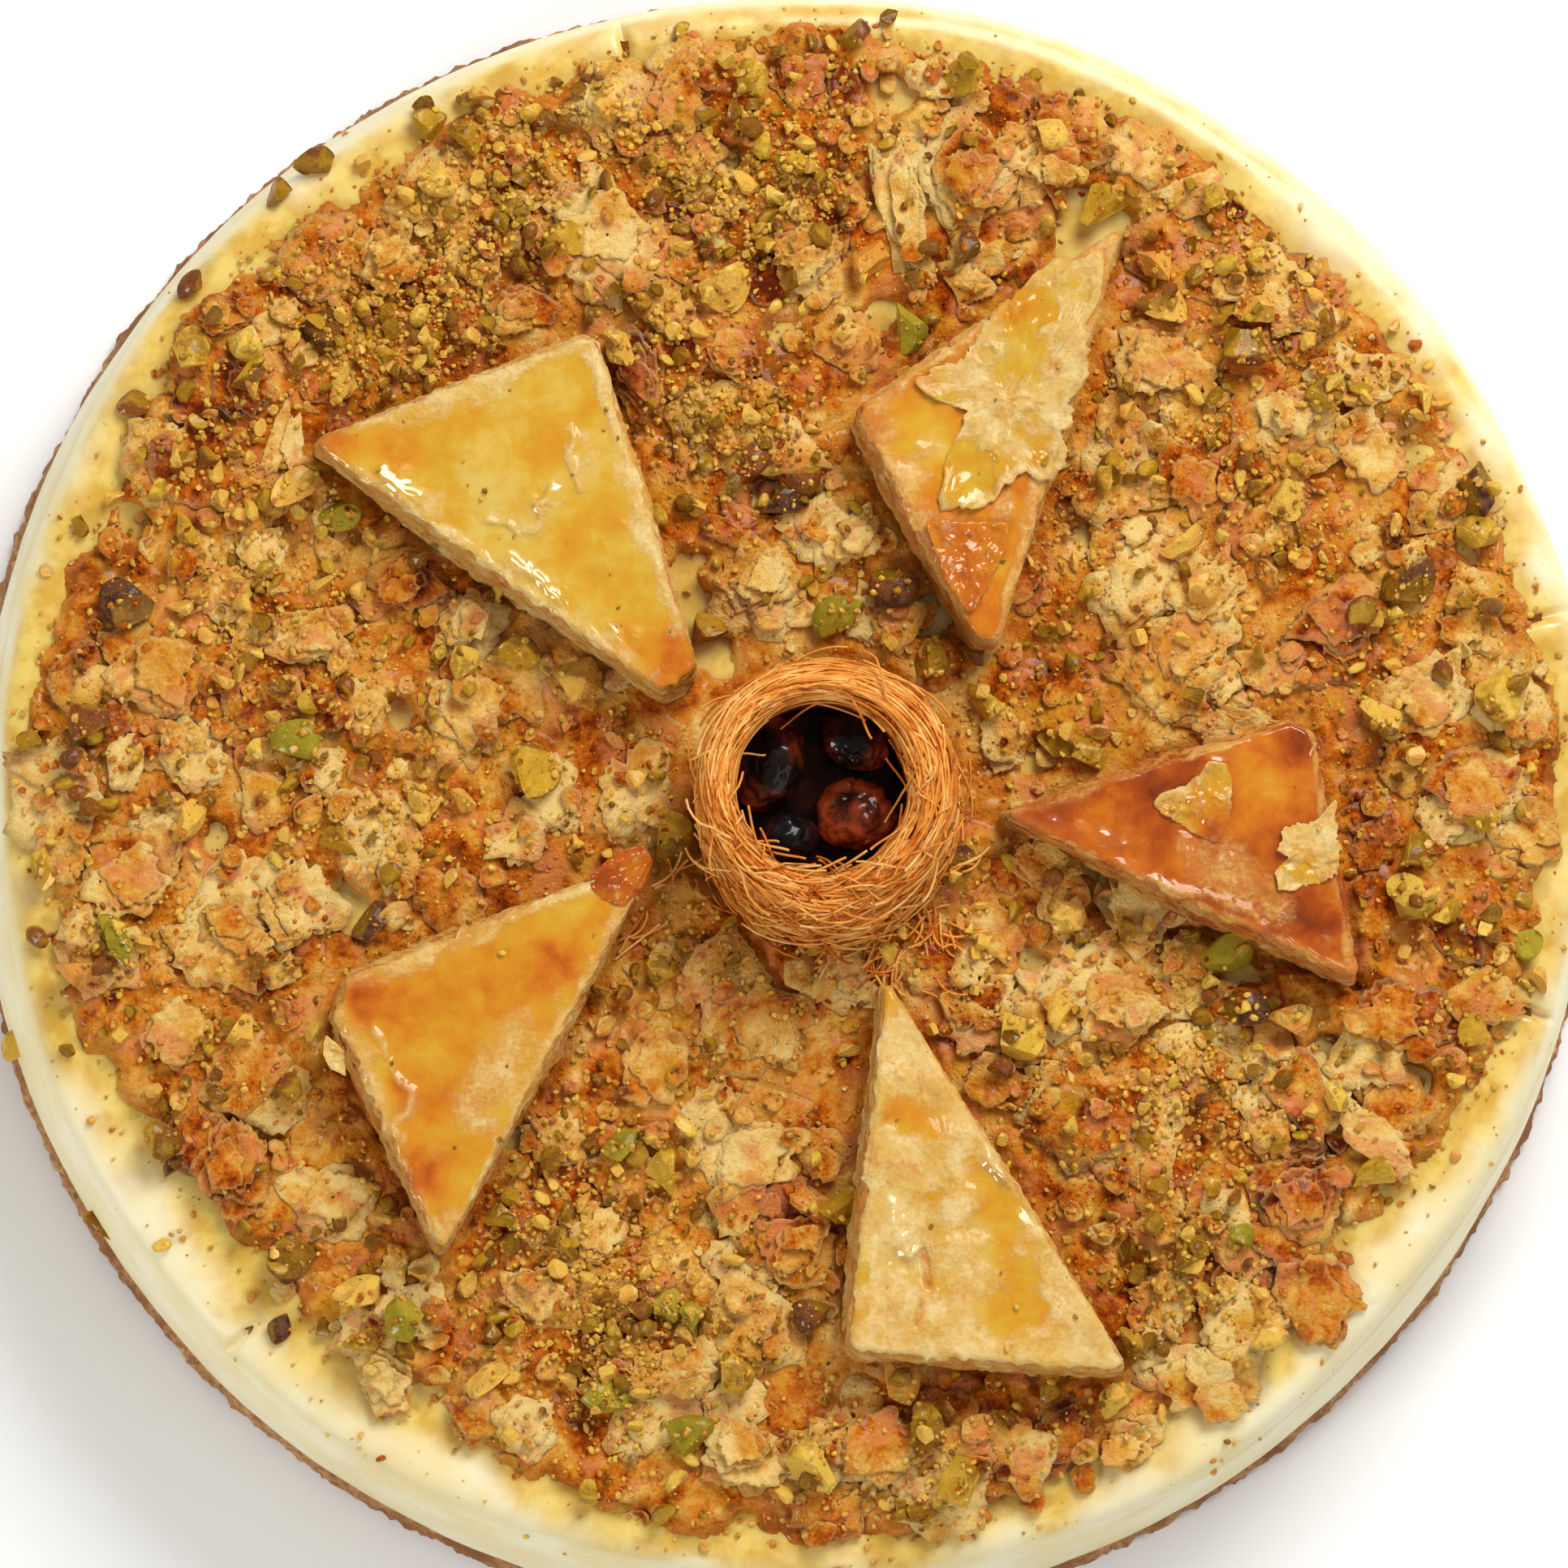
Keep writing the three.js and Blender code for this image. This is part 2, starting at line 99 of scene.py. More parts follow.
def smoothStep(low, high, value):
    share = clamp((value - low) / (high - low))
    return share * share * (3 - 2 * share)


def eased(ring, times):  # a closed ring of values or points, smoothed
    for step in range(times):
        ring = (np.roll(ring, 1, 0) + 2 * ring + np.roll(ring, -1, 0)) / 4
    return ring


def farAlong(line):  # distance from the start at each point of a line
    return np.concatenate([[0], np.cumsum(np.linalg.norm(np.diff(line, axis=0), axis=1))])


def spotSum(x, y, spots, sharp=1.2):  # soft spots added up: x, y, reach, strength
    total = np.zeros(len(x))
    for px, py, size, strength in spots:
        total = total + strength * np.exp(-((x - px) ** 2 + (y - py) ** 2) / size ** 2 * sharp)
    return total


def makeMesh(name, points, faces, attributes=None, smooth=True):  # faces may be one array or several
    mesh = bpy.data.meshes.new(name)
    faceSets = [np.asarray(f, np.int32) for f in (faces if isinstance(faces, list) else [faces])]
    corners = np.concatenate([f.ravel() for f in faceSets])
    counts = np.concatenate([np.full(len(f), f.shape[1]) for f in faceSets])
    mesh.vertices.add(len(points))
    mesh.vertices.foreach_set("co", (np.asarray(points) * mm).astype(np.float32).ravel())
    mesh.loops.add(len(corners))
    mesh.loops.foreach_set("vertex_index", corners)
    mesh.polygons.add(len(counts))
    starts = np.concatenate([[0], np.cumsum(counts)[:-1]])
    mesh.polygons.foreach_set("loop_start", starts.astype(np.int32))
    mesh.polygons.foreach_set("use_smooth", np.full(len(counts), smooth))
    mesh.update(calc_edges=True)
    for key, values in (attributes or {}).items():
        layer = mesh.attributes.new(key, "FLOAT", "POINT")
        layer.data.foreach_set("value", np.broadcast_to(values, len(points)).astype(np.float32))
    return mesh


def newObject(name, data):  # an object in the scene
    made = bpy.data.objects.new(name, data)
    bpy.context.scene.collection.objects.link(made)
    return made


def makePiece(mesh, material, slotName, *nodes):  # a piece of the same name as its mesh
    piece = newObject(mesh.name, mesh)
    mesh.materials.clear()
    mesh.materials.append(material)
    if slotName:
        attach(piece, "root")
    if nodes:
        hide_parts(*nodes)
    return piece


def joinParts(parts):  # several (points, faces, {name: value}) as one
    points, faces, start = [], [], 0
    extra = {key: [] for key in parts[0][2]}
    for partPoints, partFaces, values in parts:
        points.append(partPoints)
        faces.append(partFaces + start)
        start += len(partPoints)
        for key in extra:
            extra[key].append(np.broadcast_to(values[key], len(partPoints)))
    extra = {key: np.concatenate(values) for key, values in extra.items()}
    return np.concatenate(points), np.concatenate(faces), extra


def makeJoined(name, parts, material, slotName, *nodes, smooth=True):  # one piece of several parts
    mesh = makeMesh(name, *joinParts(parts), smooth)
    makePiece(mesh, material, slotName, *nodes)
    print(name, len(parts), "parts,", len(mesh.polygons), "faces")
    return mesh


def gridFaces(rows, columns, closed):  # quads of a grid; closed joins the last column to the first
    across = columns if closed else columns - 1
    i, j = np.meshgrid(np.arange(rows - 1), np.arange(across), indexing="ij")
    i, j = i.ravel(), j.ravel()
    near, far, after = i * columns, (i + 1) * columns, (j + 1) % columns
    return np.stack([near + j, near + after, far + after, far + j], 1)


def lathe(profile, angles):  # radius, height, angle and faces of a profile of (radius, height) turned round
    profile = np.array(profile, float)
    radius, height = [np.repeat(column, len(angles)) for column in profile.T]
    return radius, height, np.tile(angles, len(profile)), gridFaces(len(profile), len(angles), True)


def discFaces(rings, sectors, start=0):  # triangles of a round grid that begins with its middle point
    ring = start + 1 + np.arange(rings * sectors).reshape(rings, sectors)
    after = np.roll(ring, -1, 1)
    fan = np.stack([np.full(sectors, start), ring[0], after[0]], 1)
    a, b, c, d = ring[:-1].ravel(), after[:-1].ravel(), after[1:].ravel(), ring[1:].ravel()
    return np.concatenate([fan, np.stack([a, d, c], 1), np.stack([a, c, b], 1)])


def band(upper, lower):  # triangles between two closed rings of point numbers
    upperNext, lowerNext = np.roll(upper, -1), np.roll(lower, -1)
    first = np.stack([upper, lower, lowerNext], 1)
    return np.concatenate([first, np.stack([upper, lowerNext, upperNext], 1)])


def thinShell(top, bottom, rings, sectors):  # closed shell between two round grids
    count = len(top)
    lower = discFaces(rings, sectors, count)[:, ::-1]
    border = 1 + (rings - 1) * sectors + np.arange(sectors)
    faces = [discFaces(rings, sectors), lower, band(border, border + count)]
    return np.concatenate([top, bottom]), np.concatenate(faces)


def evenSheet(x, y, height, thick, rings, sectors):  # thin shell of even thickness on a round grid
    return thinShell(flat(x, y, height + thick), flat(x, y, height), rings, sectors)


def cappedShell(top, rings, sectors, under):  # closed block below a round grid, flat underneath at z = under
    count = len(top)
    foot = top[-sectors:].copy()
    foot[:, 2] = under
    middle = top[:1] * [1, 1, 0] + [0, 0, under]
    footRing = count + np.arange(sectors)
    sides = band(1 + (rings - 1) * sectors + np.arange(sectors), footRing)
    fan = np.stack([np.full(sectors, count + sectors), np.roll(footRing, -1), footRing], 1)
    return np.concatenate([top, foot, middle]), np.concatenate([discFaces(rings, sectors), sides, fan])


def unitBall(level):  # points and faces of an icosphere of radius 1
    golden = (1 + math.sqrt(5)) / 2
    base = [(-1, golden, 0), (1, golden, 0), (-1, -golden, 0), (1, -golden, 0),
            (0, -1, golden), (0, 1, golden), (0, -1, -golden), (0, 1, -golden),
            (golden, 0, -1), (golden, 0, 1), (-golden, 0, -1), (-golden, 0, 1)]
    points = [Vector(p).normalized() for p in base]
    faces = [(0, 11, 5), (0, 5, 1), (0, 1, 7), (0, 7, 10), (0, 10, 11), (1, 5, 9), (5, 11, 4), (11, 10, 2),
             (10, 7, 6), (7, 1, 8), (3, 9, 4), (3, 4, 2), (3, 2, 6), (3, 6, 8), (3, 8, 9), (4, 9, 5),
             (2, 4, 11), (6, 2, 10), (8, 6, 7), (9, 8, 1)]
    for step in range(level):
        middles, finer = {}, []

        def middle(i, j):
            key = (min(i, j), max(i, j))
            if key not in middles:
                middles[key] = len(points)
                points.append(((points[i] + points[j]) / 2).normalized())
            return middles[key]

        for a, b, c in faces:
            ab, bc, ca = middle(a, b), middle(b, c), middle(c, a)
            finer += [(a, ab, ca), (b, bc, ab), (c, ca, bc), (ab, bc, ca)]
        faces = finer
    return np.array([tuple(p) for p in points]), np.array(faces)


def turned(points, ax, ay, az):  # turned about x, then y, then z, in radians
    turn = Matrix.Rotation(az, 3, "Z") @ Matrix.Rotation(ay, 3, "Y") @ Matrix.Rotation(ax, 3, "X")
    return points @ np.array(turn).T


# Node trees: materials and Geometry Nodes recipes

def srgb(red, green, blue):  # a colour of 0 to 255, as the shaders take it
    def linear(value):
        value /= 255
        return value / 12.92 if value <= 0.04045 else ((value + 0.055) / 1.055) ** 2.4
    return (linear(red), linear(green), linear(blue), 1.0)


def softInside(weight, *reach):  # light that sinks in, with its reach in red, green and blue
    return {"Subsurface_Weight": weight, "Subsurface_Radius": reach, "Subsurface_Scale": 1.0}


class Wire:  # a socket that takes part in Python expressions
    def __init__(self, plan, socket):
        self.plan, self.socket = plan, socket

    def maths(self, operation, other, flip=False):
        pair = (other, self) if flip else (self, other)
        return self.plan.node("ShaderNodeMath", {"operation": operation}, {0: pair[0], 1: pair[1]})

    def __add__(self, other):
        return self.maths("ADD", other)

    def __sub__(self, other):
        return self.maths("SUBTRACT", other)

    def __rsub__(self, other):
        return self.maths("SUBTRACT", other, True)

    def __mul__(self, other):
        return self.maths("MULTIPLY", other)

    __radd__, __rmul__ = __add__, __mul__

    def ramp(self, low, high):  # 0 below low, 1 above high, eased between
        settings = {"interpolation_type": "SMOOTHSTEP"}
        return self.plan.node("ShaderNodeMapRange", settings, {0: self, 1: low, 2: high})


class Plan:  # a node tree whose nodes are all made through node()
    def __init__(self, tree):
        self.tree = tree
        tree.nodes.clear()

    def node(self, kind, settings=None, sockets=None, output=0):
        made = self.tree.nodes.new(kind)
        for key, value in (settings or {}).items():
            if key == "stops":
                for k, (position, colour) in enumerate(value):
                    stops = made.color_ramp.elements
                    stop = stops[k] if k < len(stops) else stops.new(position)
                    stop.position, stop.color = position, colour
            else:
                setattr(made, key, value)
        for key, value in (sockets or {}).items():
            if isinstance(value, Wire):
                self.tree.links.new(value.socket, made.inputs[key])
            else:
                made.inputs[key].default_value = value
        return Wire(self, made.outputs[output]) if len(made.outputs) else None


class Finish(Plan):  # one material
    def __init__(self, name):
        self.material = bpy.data.materials.new(name)
        self.material.use_nodes = True
        super().__init__(self.material.node_tree)
        spot = self.node("ShaderNodeTexCoord", {}, {}, "Object")
        self.place = self.node("ShaderNodeVectorMath", {"operation": "SCALE"}, {0: spot, "Scale": 1 / mm})

    def noise(self, size, detail=3.0, rough=0.55, warp=0.0, shift=0.0):
        place = self.place
        if shift:
            away = (shift, -shift, shift)
            place = self.node("ShaderNodeVectorMath", {"operation": "ADD"}, {0: place, 1: away})
        return self.node("ShaderNodeTexNoise", {}, {
            "Vector": place, "Scale": 1 / size, "Detail": detail, "Roughness": rough, "Distortion": warp})

    def attribute(self, name):
        return self.node("ShaderNodeAttribute", {"attribute_name": name}, {}, "Fac")

    def blend(self, share, first, second):
        return self.node("ShaderNodeMix", {"data_type": "RGBA"}, {0: share, 6: first, 7: second}, 2)

    def palette(self, share, stops):  # stops are position, red, green, blue
        stops = [(position, srgb(*colour)) for position, *colour in stops]
        return self.node("ShaderNodeValToRGB", {"stops": stops}, {0: share})

    def soaked(self, tint):  # crumbled baklava, from pale and dry to deep amber
        large = self.noise(10.0, 3, 0.5, 0.8)
        middling = self.noise(2.6, 4, 0.6, 0.6, 4.0)
        grain = self.noise(0.62, 4, 0.7, 0.0, 9.0)
        shade = tint + 1.6 * (large - 0.5) + (middling - 0.5) + 0.6 * (grain - 0.5)
        tone = self.palette(shade, [
            (0.03, 243, 207, 128), (0.18, 238, 188, 98), (0.34, 226, 162, 70), (0.5, 216, 138, 44),
            (0.64, 200, 102, 16), (0.8, 154, 60, 2), (0.96, 98, 28, 0)])
        blush = self.noise(5.5, 3, 0.5, 0.5, 40.0).ramp(0.52, 0.66) * 0.65
        gilt = self.noise(6.5, 3, 0.5, 0.5, 60.0).ramp(0.56, 0.7) * 0.5
        tone = self.blend(blush, tone, srgb(224, 134, 78))
        curdle = self.noise(1.5, 3, 0.65, 0.5, 80.0)
        return shade, grain + curdle, self.blend(gilt, tone, srgb(222, 166, 42))

    def bump(self, height, strength, distance):
        sockets = {"Height": height, "Strength": strength, "Distance": distance * mm}
        return self.node("ShaderNodeBump", {}, sockets)

    def close(self, **sockets):  # ends the material in one principled shader
        named = {key.replace("_", " "): value for key, value in sockets.items()}
        shader = self.node("ShaderNodeBsdfPrincipled", {}, named)
        self.node("ShaderNodeOutputMaterial", {}, {"Surface": shader})
        return self.material


class Recipe(Plan):  # one Geometry Nodes tree with named inputs
    def __init__(self, name, inputs):
        tree = bpy.data.node_groups.new(name, "GeometryNodeTree")
        super().__init__(tree)
        tree.interface.new_socket("Geometry", in_out="OUTPUT", socket_type="NodeSocketGeometry")
        for key, kind in {"Geometry": "Geometry", **inputs}.items():
            tree.interface.new_socket(key, in_out="INPUT", socket_type="NodeSocket" + kind)
        enter = tree.nodes.new("NodeGroupInput")
        self.given = {socket.name: Wire(self, socket) for socket in enter.outputs if socket.name}

    def random(self, low, high, seed):
        sockets = {2: low, 3: high, 8: self.given["Seed"] + seed}
        return self.node("FunctionNodeRandomValue", {"data_type": "FLOAT"}, sockets, 1)

    def store(self, geometry, name, value, domain, dataType="FLOAT"):
        settings = {"data_type": dataType, "domain": domain}
        return self.node("GeometryNodeStoreNamedAttribute", settings, {0: geometry, 2: name, 3: value})

    def finish(self, geometry):
        dressed = self.node("GeometryNodeSetMaterial", {}, {0: geometry, 2: self.given["Finish"]})
        self.node("NodeGroupOutput", {}, {0: dressed})


def cook(name, start, recipe, values):  # runs a recipe and keeps the result as a plain mesh
    source = newObject(name + "Start", start)
    modifier = source.modifiers.new(name, "NODES")
    modifier.node_group = recipe.tree
    for socket in recipe.tree.interface.items_tree:
        if socket.in_out == "INPUT" and socket.name in values:
            modifier[socket.identifier] = values[socket.name]
    graph = bpy.context.evaluated_depsgraph_get()
    mesh = bpy.data.meshes.new_from_object(source.evaluated_get(graph), depsgraph=graph)
    source.modifiers.clear()
    bpy.data.objects.remove(source)
    mesh.name = name
    return mesh


# Camera, lights and floor

cameraView = {"aim": (-2.0, 0.0, 42.0), "distance": 1500.0, "tilt": 5.5, "from": 240.0, "lens": 227.3,
              "sensor": 36.0, "farthest": 10.0}

tilt, bearing = math.radians(cameraView["tilt"]), math.radians(cameraView["from"])
back = Vector((math.cos(bearing) * math.sin(tilt), math.sin(bearing) * math.sin(tilt), math.cos(tilt)))
right = Vector((0, 1, 0)).cross(back).normalized()
over = back.cross(right)
cameraData = bpy.data.cameras.new("photoCamera")
cameraData.lens, cameraData.sensor_width = cameraView["lens"], cameraView["sensor"]
cameraData.clip_end = cameraView["farthest"]
camera = newObject("photoCamera", cameraData)
camera.rotation_mode = "QUATERNION"
camera.location = (Vector(cameraView["aim"]) + back * cameraView["distance"]) * mm
camera.rotation_quaternion = Matrix([[right[i], over[i], back[i]] for i in range(3)]).to_quaternion()
bpy.context.scene.camera = camera

lamps = {
    "softbox": {"at": (330, 680, 850), "size": 560, "power": 11.8},
    "window": {"at": (-700, -520, 620), "size": 230, "power": 3.7},
    "fill": {"at": (700, -500, 700), "size": 900, "power": 2.6},
}
for lampName, lamp in lamps.items():
    data = bpy.data.lights.new(lampName, "AREA")
    data.shape, data.size, data.energy = "SQUARE", lamp["size"] * mm, lamp["power"]
    light = newObject(lampName, data)
    light.location = Vector(lamp["at"]) * mm
    light.rotation_mode = "QUATERNION"
    light.rotation_quaternion = Vector(lamp["at"]).to_track_quat("Z", "Y")

daylight = {"tone": (1.0, 0.99, 0.97, 1.0), "strength": 0.265}
studio = bpy.data.worlds.new("studio")
studio.use_nodes = True
sky = studio.node_tree.nodes["Background"].inputs
sky["Color"].default_value = daylight["tone"]
sky["Strength"].default_value = daylight["strength"]
bpy.context.scene.world = studio
bpy.context.scene.view_settings.view_transform = "Standard"

ground = {"half": 2500, "low": -0.05, "tones": [(0.95, 0.95, 0.94, 1), (0.97, 0.97, 0.96, 1)]}
finish = Finish("paleFloor")
floorTone = finish.blend(finish.noise(60, 2), *ground["tones"])
floorCorners = np.array([[-1, -1, 0], [1, -1, 0], [1, 1, 0], [-1, 1, 0]]) * ground["half"]
floorCorners = floorCorners + np.array([0, 0, ground["low"]])
floorMesh = makeMesh("floor", floorCorners, np.array([[0, 1, 2, 3]]))
floor = makePiece(floorMesh, finish.close(Base_Color=floorTone, Roughness=0.7), None)
print("camera, lights and floor")


# The cake's shared shapes, as in the solids

warmSheen = (1.0, 0.76, 0.42, 1.0)  # tint of what syrup and baked crumb reflect
crumbSheen = {"Specular_IOR_Level": 0.12, "Specular_Tint": warmSheen}
pastrySheen = {"Specular_IOR_Level": 0.2, "Specular_Tint": warmSheen}
tintSpread = 0.24  # how far the tints of scattered pieces differ either way
cake = {"baseHeight": 6.5, "creamTop": 40.0, "seat": 42.0, "rest": 42.1, "toppingRadius": 112.2}
nest = {"x": 2.8, "y": -2.0, "foot": 21.6, "height": 22.0, "floor": 4.0}

# The five baklava triangles. Places are x, y. Pools of syrup, reds, dry pale patches and glints are x, y,
# reach, strength. Ridges are raised lines, beads are lips of syrup, cracks are splits, puff is how uneven
# the top is, pale is how far all of it has dried, and blunt is how far each corner is worn. Leaves are torn
# top leaves with their own outlines: rag is how torn the edge is, and melt (direction, from, to) is where
# the leaf sinks into the pastry.
pastries = [
    {"corners": [(-31.4, 67.5), (-74, 50.4), (-12.6, 6.8)], "blunt": (2.5, 2.5, 14), "depth": 0.14,
     "edgeDry": 4.2,
     "pools": [(-60.2, 50.8, 6, 0.2), (-38.3, 49, 3.4, 0.1), (-35.5, 34.5, 4.5, 0.1), (-30, 40, 3, 0.1)],
     "reds": [(-71, 49.9, 5, 0.42), (-18, 17, 8, 0.46), (-31.3, 56.4, 2.5, 0.1), (-26, 30, 3, 0.2)],
     "dry": [(-32.3, 46.5, 3.2, 0.5), (-31.6, 51, 2.4, 0.45), (-42.1, 38.7, 2.6, 0.45),
             (-45.5, 39.2, 2.2, 0.45), (-54.7, 40.5, 3.2, 0.6), (-41.6, 30.7, 3, 0.55),
             (-32.3, 24.7, 2.5, 0.5), (-46.3, 58.8, 5, 0.45)],
     "beads": [[(-63, 45.8), (-60.2, 43.4), (-57.4, 41.6)], [(-43.6, 31.8), (-39.8, 29.6), (-36, 27)],
               [(-39.6, 40.2), (-37.4, 41), (-37.4, 42.6)]],
     "ridges": [[(-46.5, 38.4), (-43, 37.6), (-39.8, 38.2), (-38.9, 40.4)],
                [(-34.2, 52), (-34.6, 47), (-33.6, 43.4)]],
     "glints": [(-60.4, 44.8, 1.9, 1), (-58, 41.8, 1.9, 1), (-51.8, 40, 1.2, 0.8), (-40.4, 29.8, 2.0, 1),
                (-37.2, 27.6, 2.0, 1), (-38.8, 40, 1.4, 1), (-27, 37.8, 1.2, 0.8), (-28.6, 22.4, 1.4, 0.9),
                (-25.2, 21.4, 1.2, 0.9)]},
    {"corners": [(49, 84.2), (8.2, 55.6), (28.6, 16.6)], "blunt": (2.5, 2.5, 6.5), "depth": 0.46,
     "edgeDry": 3.0,
     "pools": [(17.4, 54.4, 4.6, -0.2), (21.8, 51, 4, -0.2), (22, 34, 8, 0.1)],
     "reds": [(10.5, 54.5, 3, 0.2), (26, 20, 5, 0.12)],
     "dry": [(12.5, 53, 3.0, 0.9), (16.4, 45.6, 3.0, 0.9), (19.4, 50.2, 2.4, 0.6), (21.4, 37, 2.6, 0.7),
             (30, 42, 3, 0.6), (44, 62, 2.4, 0.5)],
     "glints": [(22, 37.8, 1.6, 1), (20.8, 28.4, 1.8, 1), (22, 26.6, 1.4, 1), (23.4, 42.4, 1.4, 1),
                (24.4, 20.6, 1.4, 0.7)],
     "leaves": [
         {"points": [(45.6, 81.8), (47.6, 74.3), (42.6, 70.1), (43.6, 61.6), (40.2, 54.2), (40.2, 47.6),
                     (36.7, 44.8), (33.5, 46.2), (28.7, 42.9), (27.2, 39.4), (20.3, 40.1), (21.4, 46),
                     (23.1, 50.6), (25, 55.4), (20.5, 57.2), (16.6, 59.3), (18, 61.6), (24.1, 63.1),
                     (29.7, 72), (36.7, 76.2)],
          "depth": 0.24, "dry": 0.88, "lift": 0.4, "rag": 0.085,
          "pools": [(35.6, 72, 4.0, 0.7), (34.4, 66, 3.6, 0.55), (32.6, 60.6, 3.0, 0.4),
                    (26.2, 47.4, 4.2, 0.85), (25.0, 43.2, 2.6, 0.5), (35.6, 49.8, 2.6, 0.3)]},
         {"points": [(18.6, 39), (31.4, 38.6), (30.6, 34), (25.6, 24.6), (21.6, 29.8)],
          "depth": 0.55, "dry": 0.1, "lift": 0.8, "rag": 0.03}]},
    {"corners": [(29.9, -5.3), (76.6, 9.8), (84, -30.4)], "blunt": (2, 4, 2), "depth": 0.72, "edgeDry": 2.2,
     "pools": [(69.4, -3.5, 7, -0.22), (66, 2, 5, -0.1), (45, -6, 6, -0.06), (60, -13, 6, -0.1),
               (53, -6, 4, 0.06)],
     "reds": [(36.8, -4.5, 6, 0.2), (54, 0.9, 4, 0.14), (73.3, 5.2, 4, 0.05), (77.7, -20.2, 3.4, 0.18)],
     "dry": [(64, -14.6, 7, 0.6), (72.6, -19.2, 5, 0.5), (78.5, 0, 2, 0.5), (58, -11, 3, 0.4),
             (72, 1, 3, 0.2), (47, -9, 3, 0.25)],
     "ridges": [[(56.5, -9.5), (57.5, -13)], [(48, -12.5), (58, -17), (70, -22)]],
     "glints": [(38, -6.6, 1.2, 0.7), (41.6, -7.4, 1.3, 0.8), (45.4, -8.4, 1.2, 0.7), (48.4, -9.6, 1.2, 0.8),
                (54, -15.4, 1.2, 0.7), (62.4, 1.8, 1.4, 1), (59.2, -4, 1.6, 1), (73.2, -20.6, 1.6, 1),
                (70.4, -1, 1.6, 0.7), (79, -25, 1.4, 0.7)],
     "leaves": [
         {"points": [(64.4, 2.3), (61, 2.9), (60.7, 1.2), (57.9, -1), (54.5, -2.2), (53.3, -3.8),
                     (56.3, -6.3), (58.6, -7.9), (62.4, -9.6), (64.6, -6.6), (65, -1)],
          "depth": 0.34, "dry": 0.6, "lift": 0.4, "rag": 0.06, "melt": (-50, 1.0, 6.0),
          "pools": [(62.6, -7.6, 3, 0.4), (58, -4, 2.6, 0.25)]},
         {"points": [(79.4, -1.4), (80.9, -4.2), (81.4, -9.5), (81, -14), (78.6, -15.6), (74.9, -16.8),
                     (72.1, -16.5), (71.2, -13.6), (73.7, -12), (71.7, -10.8), (72.5, -7.9), (75.7, -6.6),
                     (78.6, -5.9)],
          "depth": 0.26, "dry": 0.85, "lift": 0.5, "rag": 0.14, "melt": (120, 3.0, 8.0),
          "pools": [(77, -12, 1.6, 0.6), (74, -14, 1.2, 0.4)]}]},
    {"corners": [(12.8, -30.2), (7, -86.3), (49.5, -89.2)], "blunt": (2, 2.5, 2.5), "depth": 0.15,
     "edgeDry": 9.0, "puff": 0.8, "pale": 0.62,
     "pools": [(27.8, -58.6, 3.4, 0.11), (30.2, -63, 3.8, 0.13), (27, -66.6, 3.6, 0.11), (31.6, -69, 4, 0.13),
               (32.4, -74.4, 4.6, 0.13), (30.6, -80.4, 4.6, 0.12), (34.6, -80, 3.6, 0.08),
               (16, -50.2, 4.2, 0.13), (12.6, -51.6, 2.6, 0.1), (20.6, -52.6, 3.0, 0.1),
               (19, -62, 2.8, 0.09), (22.6, -62.2, 2.6, 0.09),
               (9.8, -75, 2.0, 0.18), (9.4, -79, 1.8, 0.16), (12.8, -33.4, 4, 0.16)],
     "reds": [(20.4, -38.3, 2.0, 0.2), (8.4, -81, 1.8, 0.2)],
     "dry": [(18.8, -51.3, 2, 0.6)],
     "ridges": [[(23.8, -53.4), (28.6, -55.2), (31.6, -57.8), (32.1, -61.7), (34.7, -64), (36.4, -66.5),
                 (36.2, -71), (34.9, -75)],
                [(13.8, -70.6), (19, -71), (26.8, -70.6)], [(13.4, -64), (13.2, -69)],
                [(14, -44), (20, -46.6)]],
     "cracks": [[(18.3, -70.8), (19.2, -76.4)], [(18.0, -79.0), (17.4, -82.2)]],
     "beads": [[(14.6, -65), (14, -68), (14.6, -71)], [(29.4, -57), (32, -61)]],
     "glints": [(14.4, -68, 1.4, 0.8), (13.6, -72, 1.2, 0.8), (28, -57, 1.4, 0.7), (33.6, -66, 1.4, 0.7),
                (12.6, -50, 1.4, 0.7), (30, -76, 1.6, 0.6)]},
    {"corners": [(-22, -12), (-71.8, -31.5), (-53.8, -72.1)], "blunt": (5.5, 6.5, 2.5), "depth": 0.34,
     "edgeDry": 3.0,
     "pools": [(-57.3, -37.4, 7, 0.06), (-45.7, -29.4, 7, 0.02), (-56.5, -47.6, 6, 0.06),
               (-34.5, -18.7, 5, -0.1)],
     "reds": [(-66.2, -33, 3.8, 0.36), (-36.8, -28.2, 4.0, 0.3), (-60.4, -47.7, 2, 0.22),
              (-57, -60.4, 4.4, 0.34),
              (-52, -56, 3, 0.14), (-50, -22, 3, 0.12)],
     "dry": [(-45.7, -44.6, 6.5, 0.6), (-49, -51, 5, 0.5), (-53.3, -66.1, 4, 0.6), (-65.9, -43.9, 2.6, 0.5),
             (-42, -37, 4, 0.45), (-63.5, -52, 2.4, 0.5), (-36, -33, 3, 0.4)],
     "glints": [(-54.8, -56.6, 1.2, 1), (-66, -38.4, 1.6, 0.9), (-64, -42, 1.4, 0.9), (-52, -26, 1.6, 0.6),
                (-36, -20, 1.4, 0.7), (-60.4, -49.6, 1.2, 0.8)],
     "ridges": [[(-64.5, -36.3), (-62.8, -39.6), (-61.4, -44.3), (-58.8, -48.6), (-61, -52.2),
                 (-59.2, -56.1)]],
     "leaves": [
         {"points": [(-31.6, -14.8), (-27.4, -11.0), (-23.6, -10.2), (-22.2, -12.6), (-23.6, -16.6),
                     (-26.6, -19.6), (-29.6, -18.6), (-31.6, -17.0)],
          "depth": 0.7, "dry": 0.2, "lift": 0.14, "rag": 0.03},
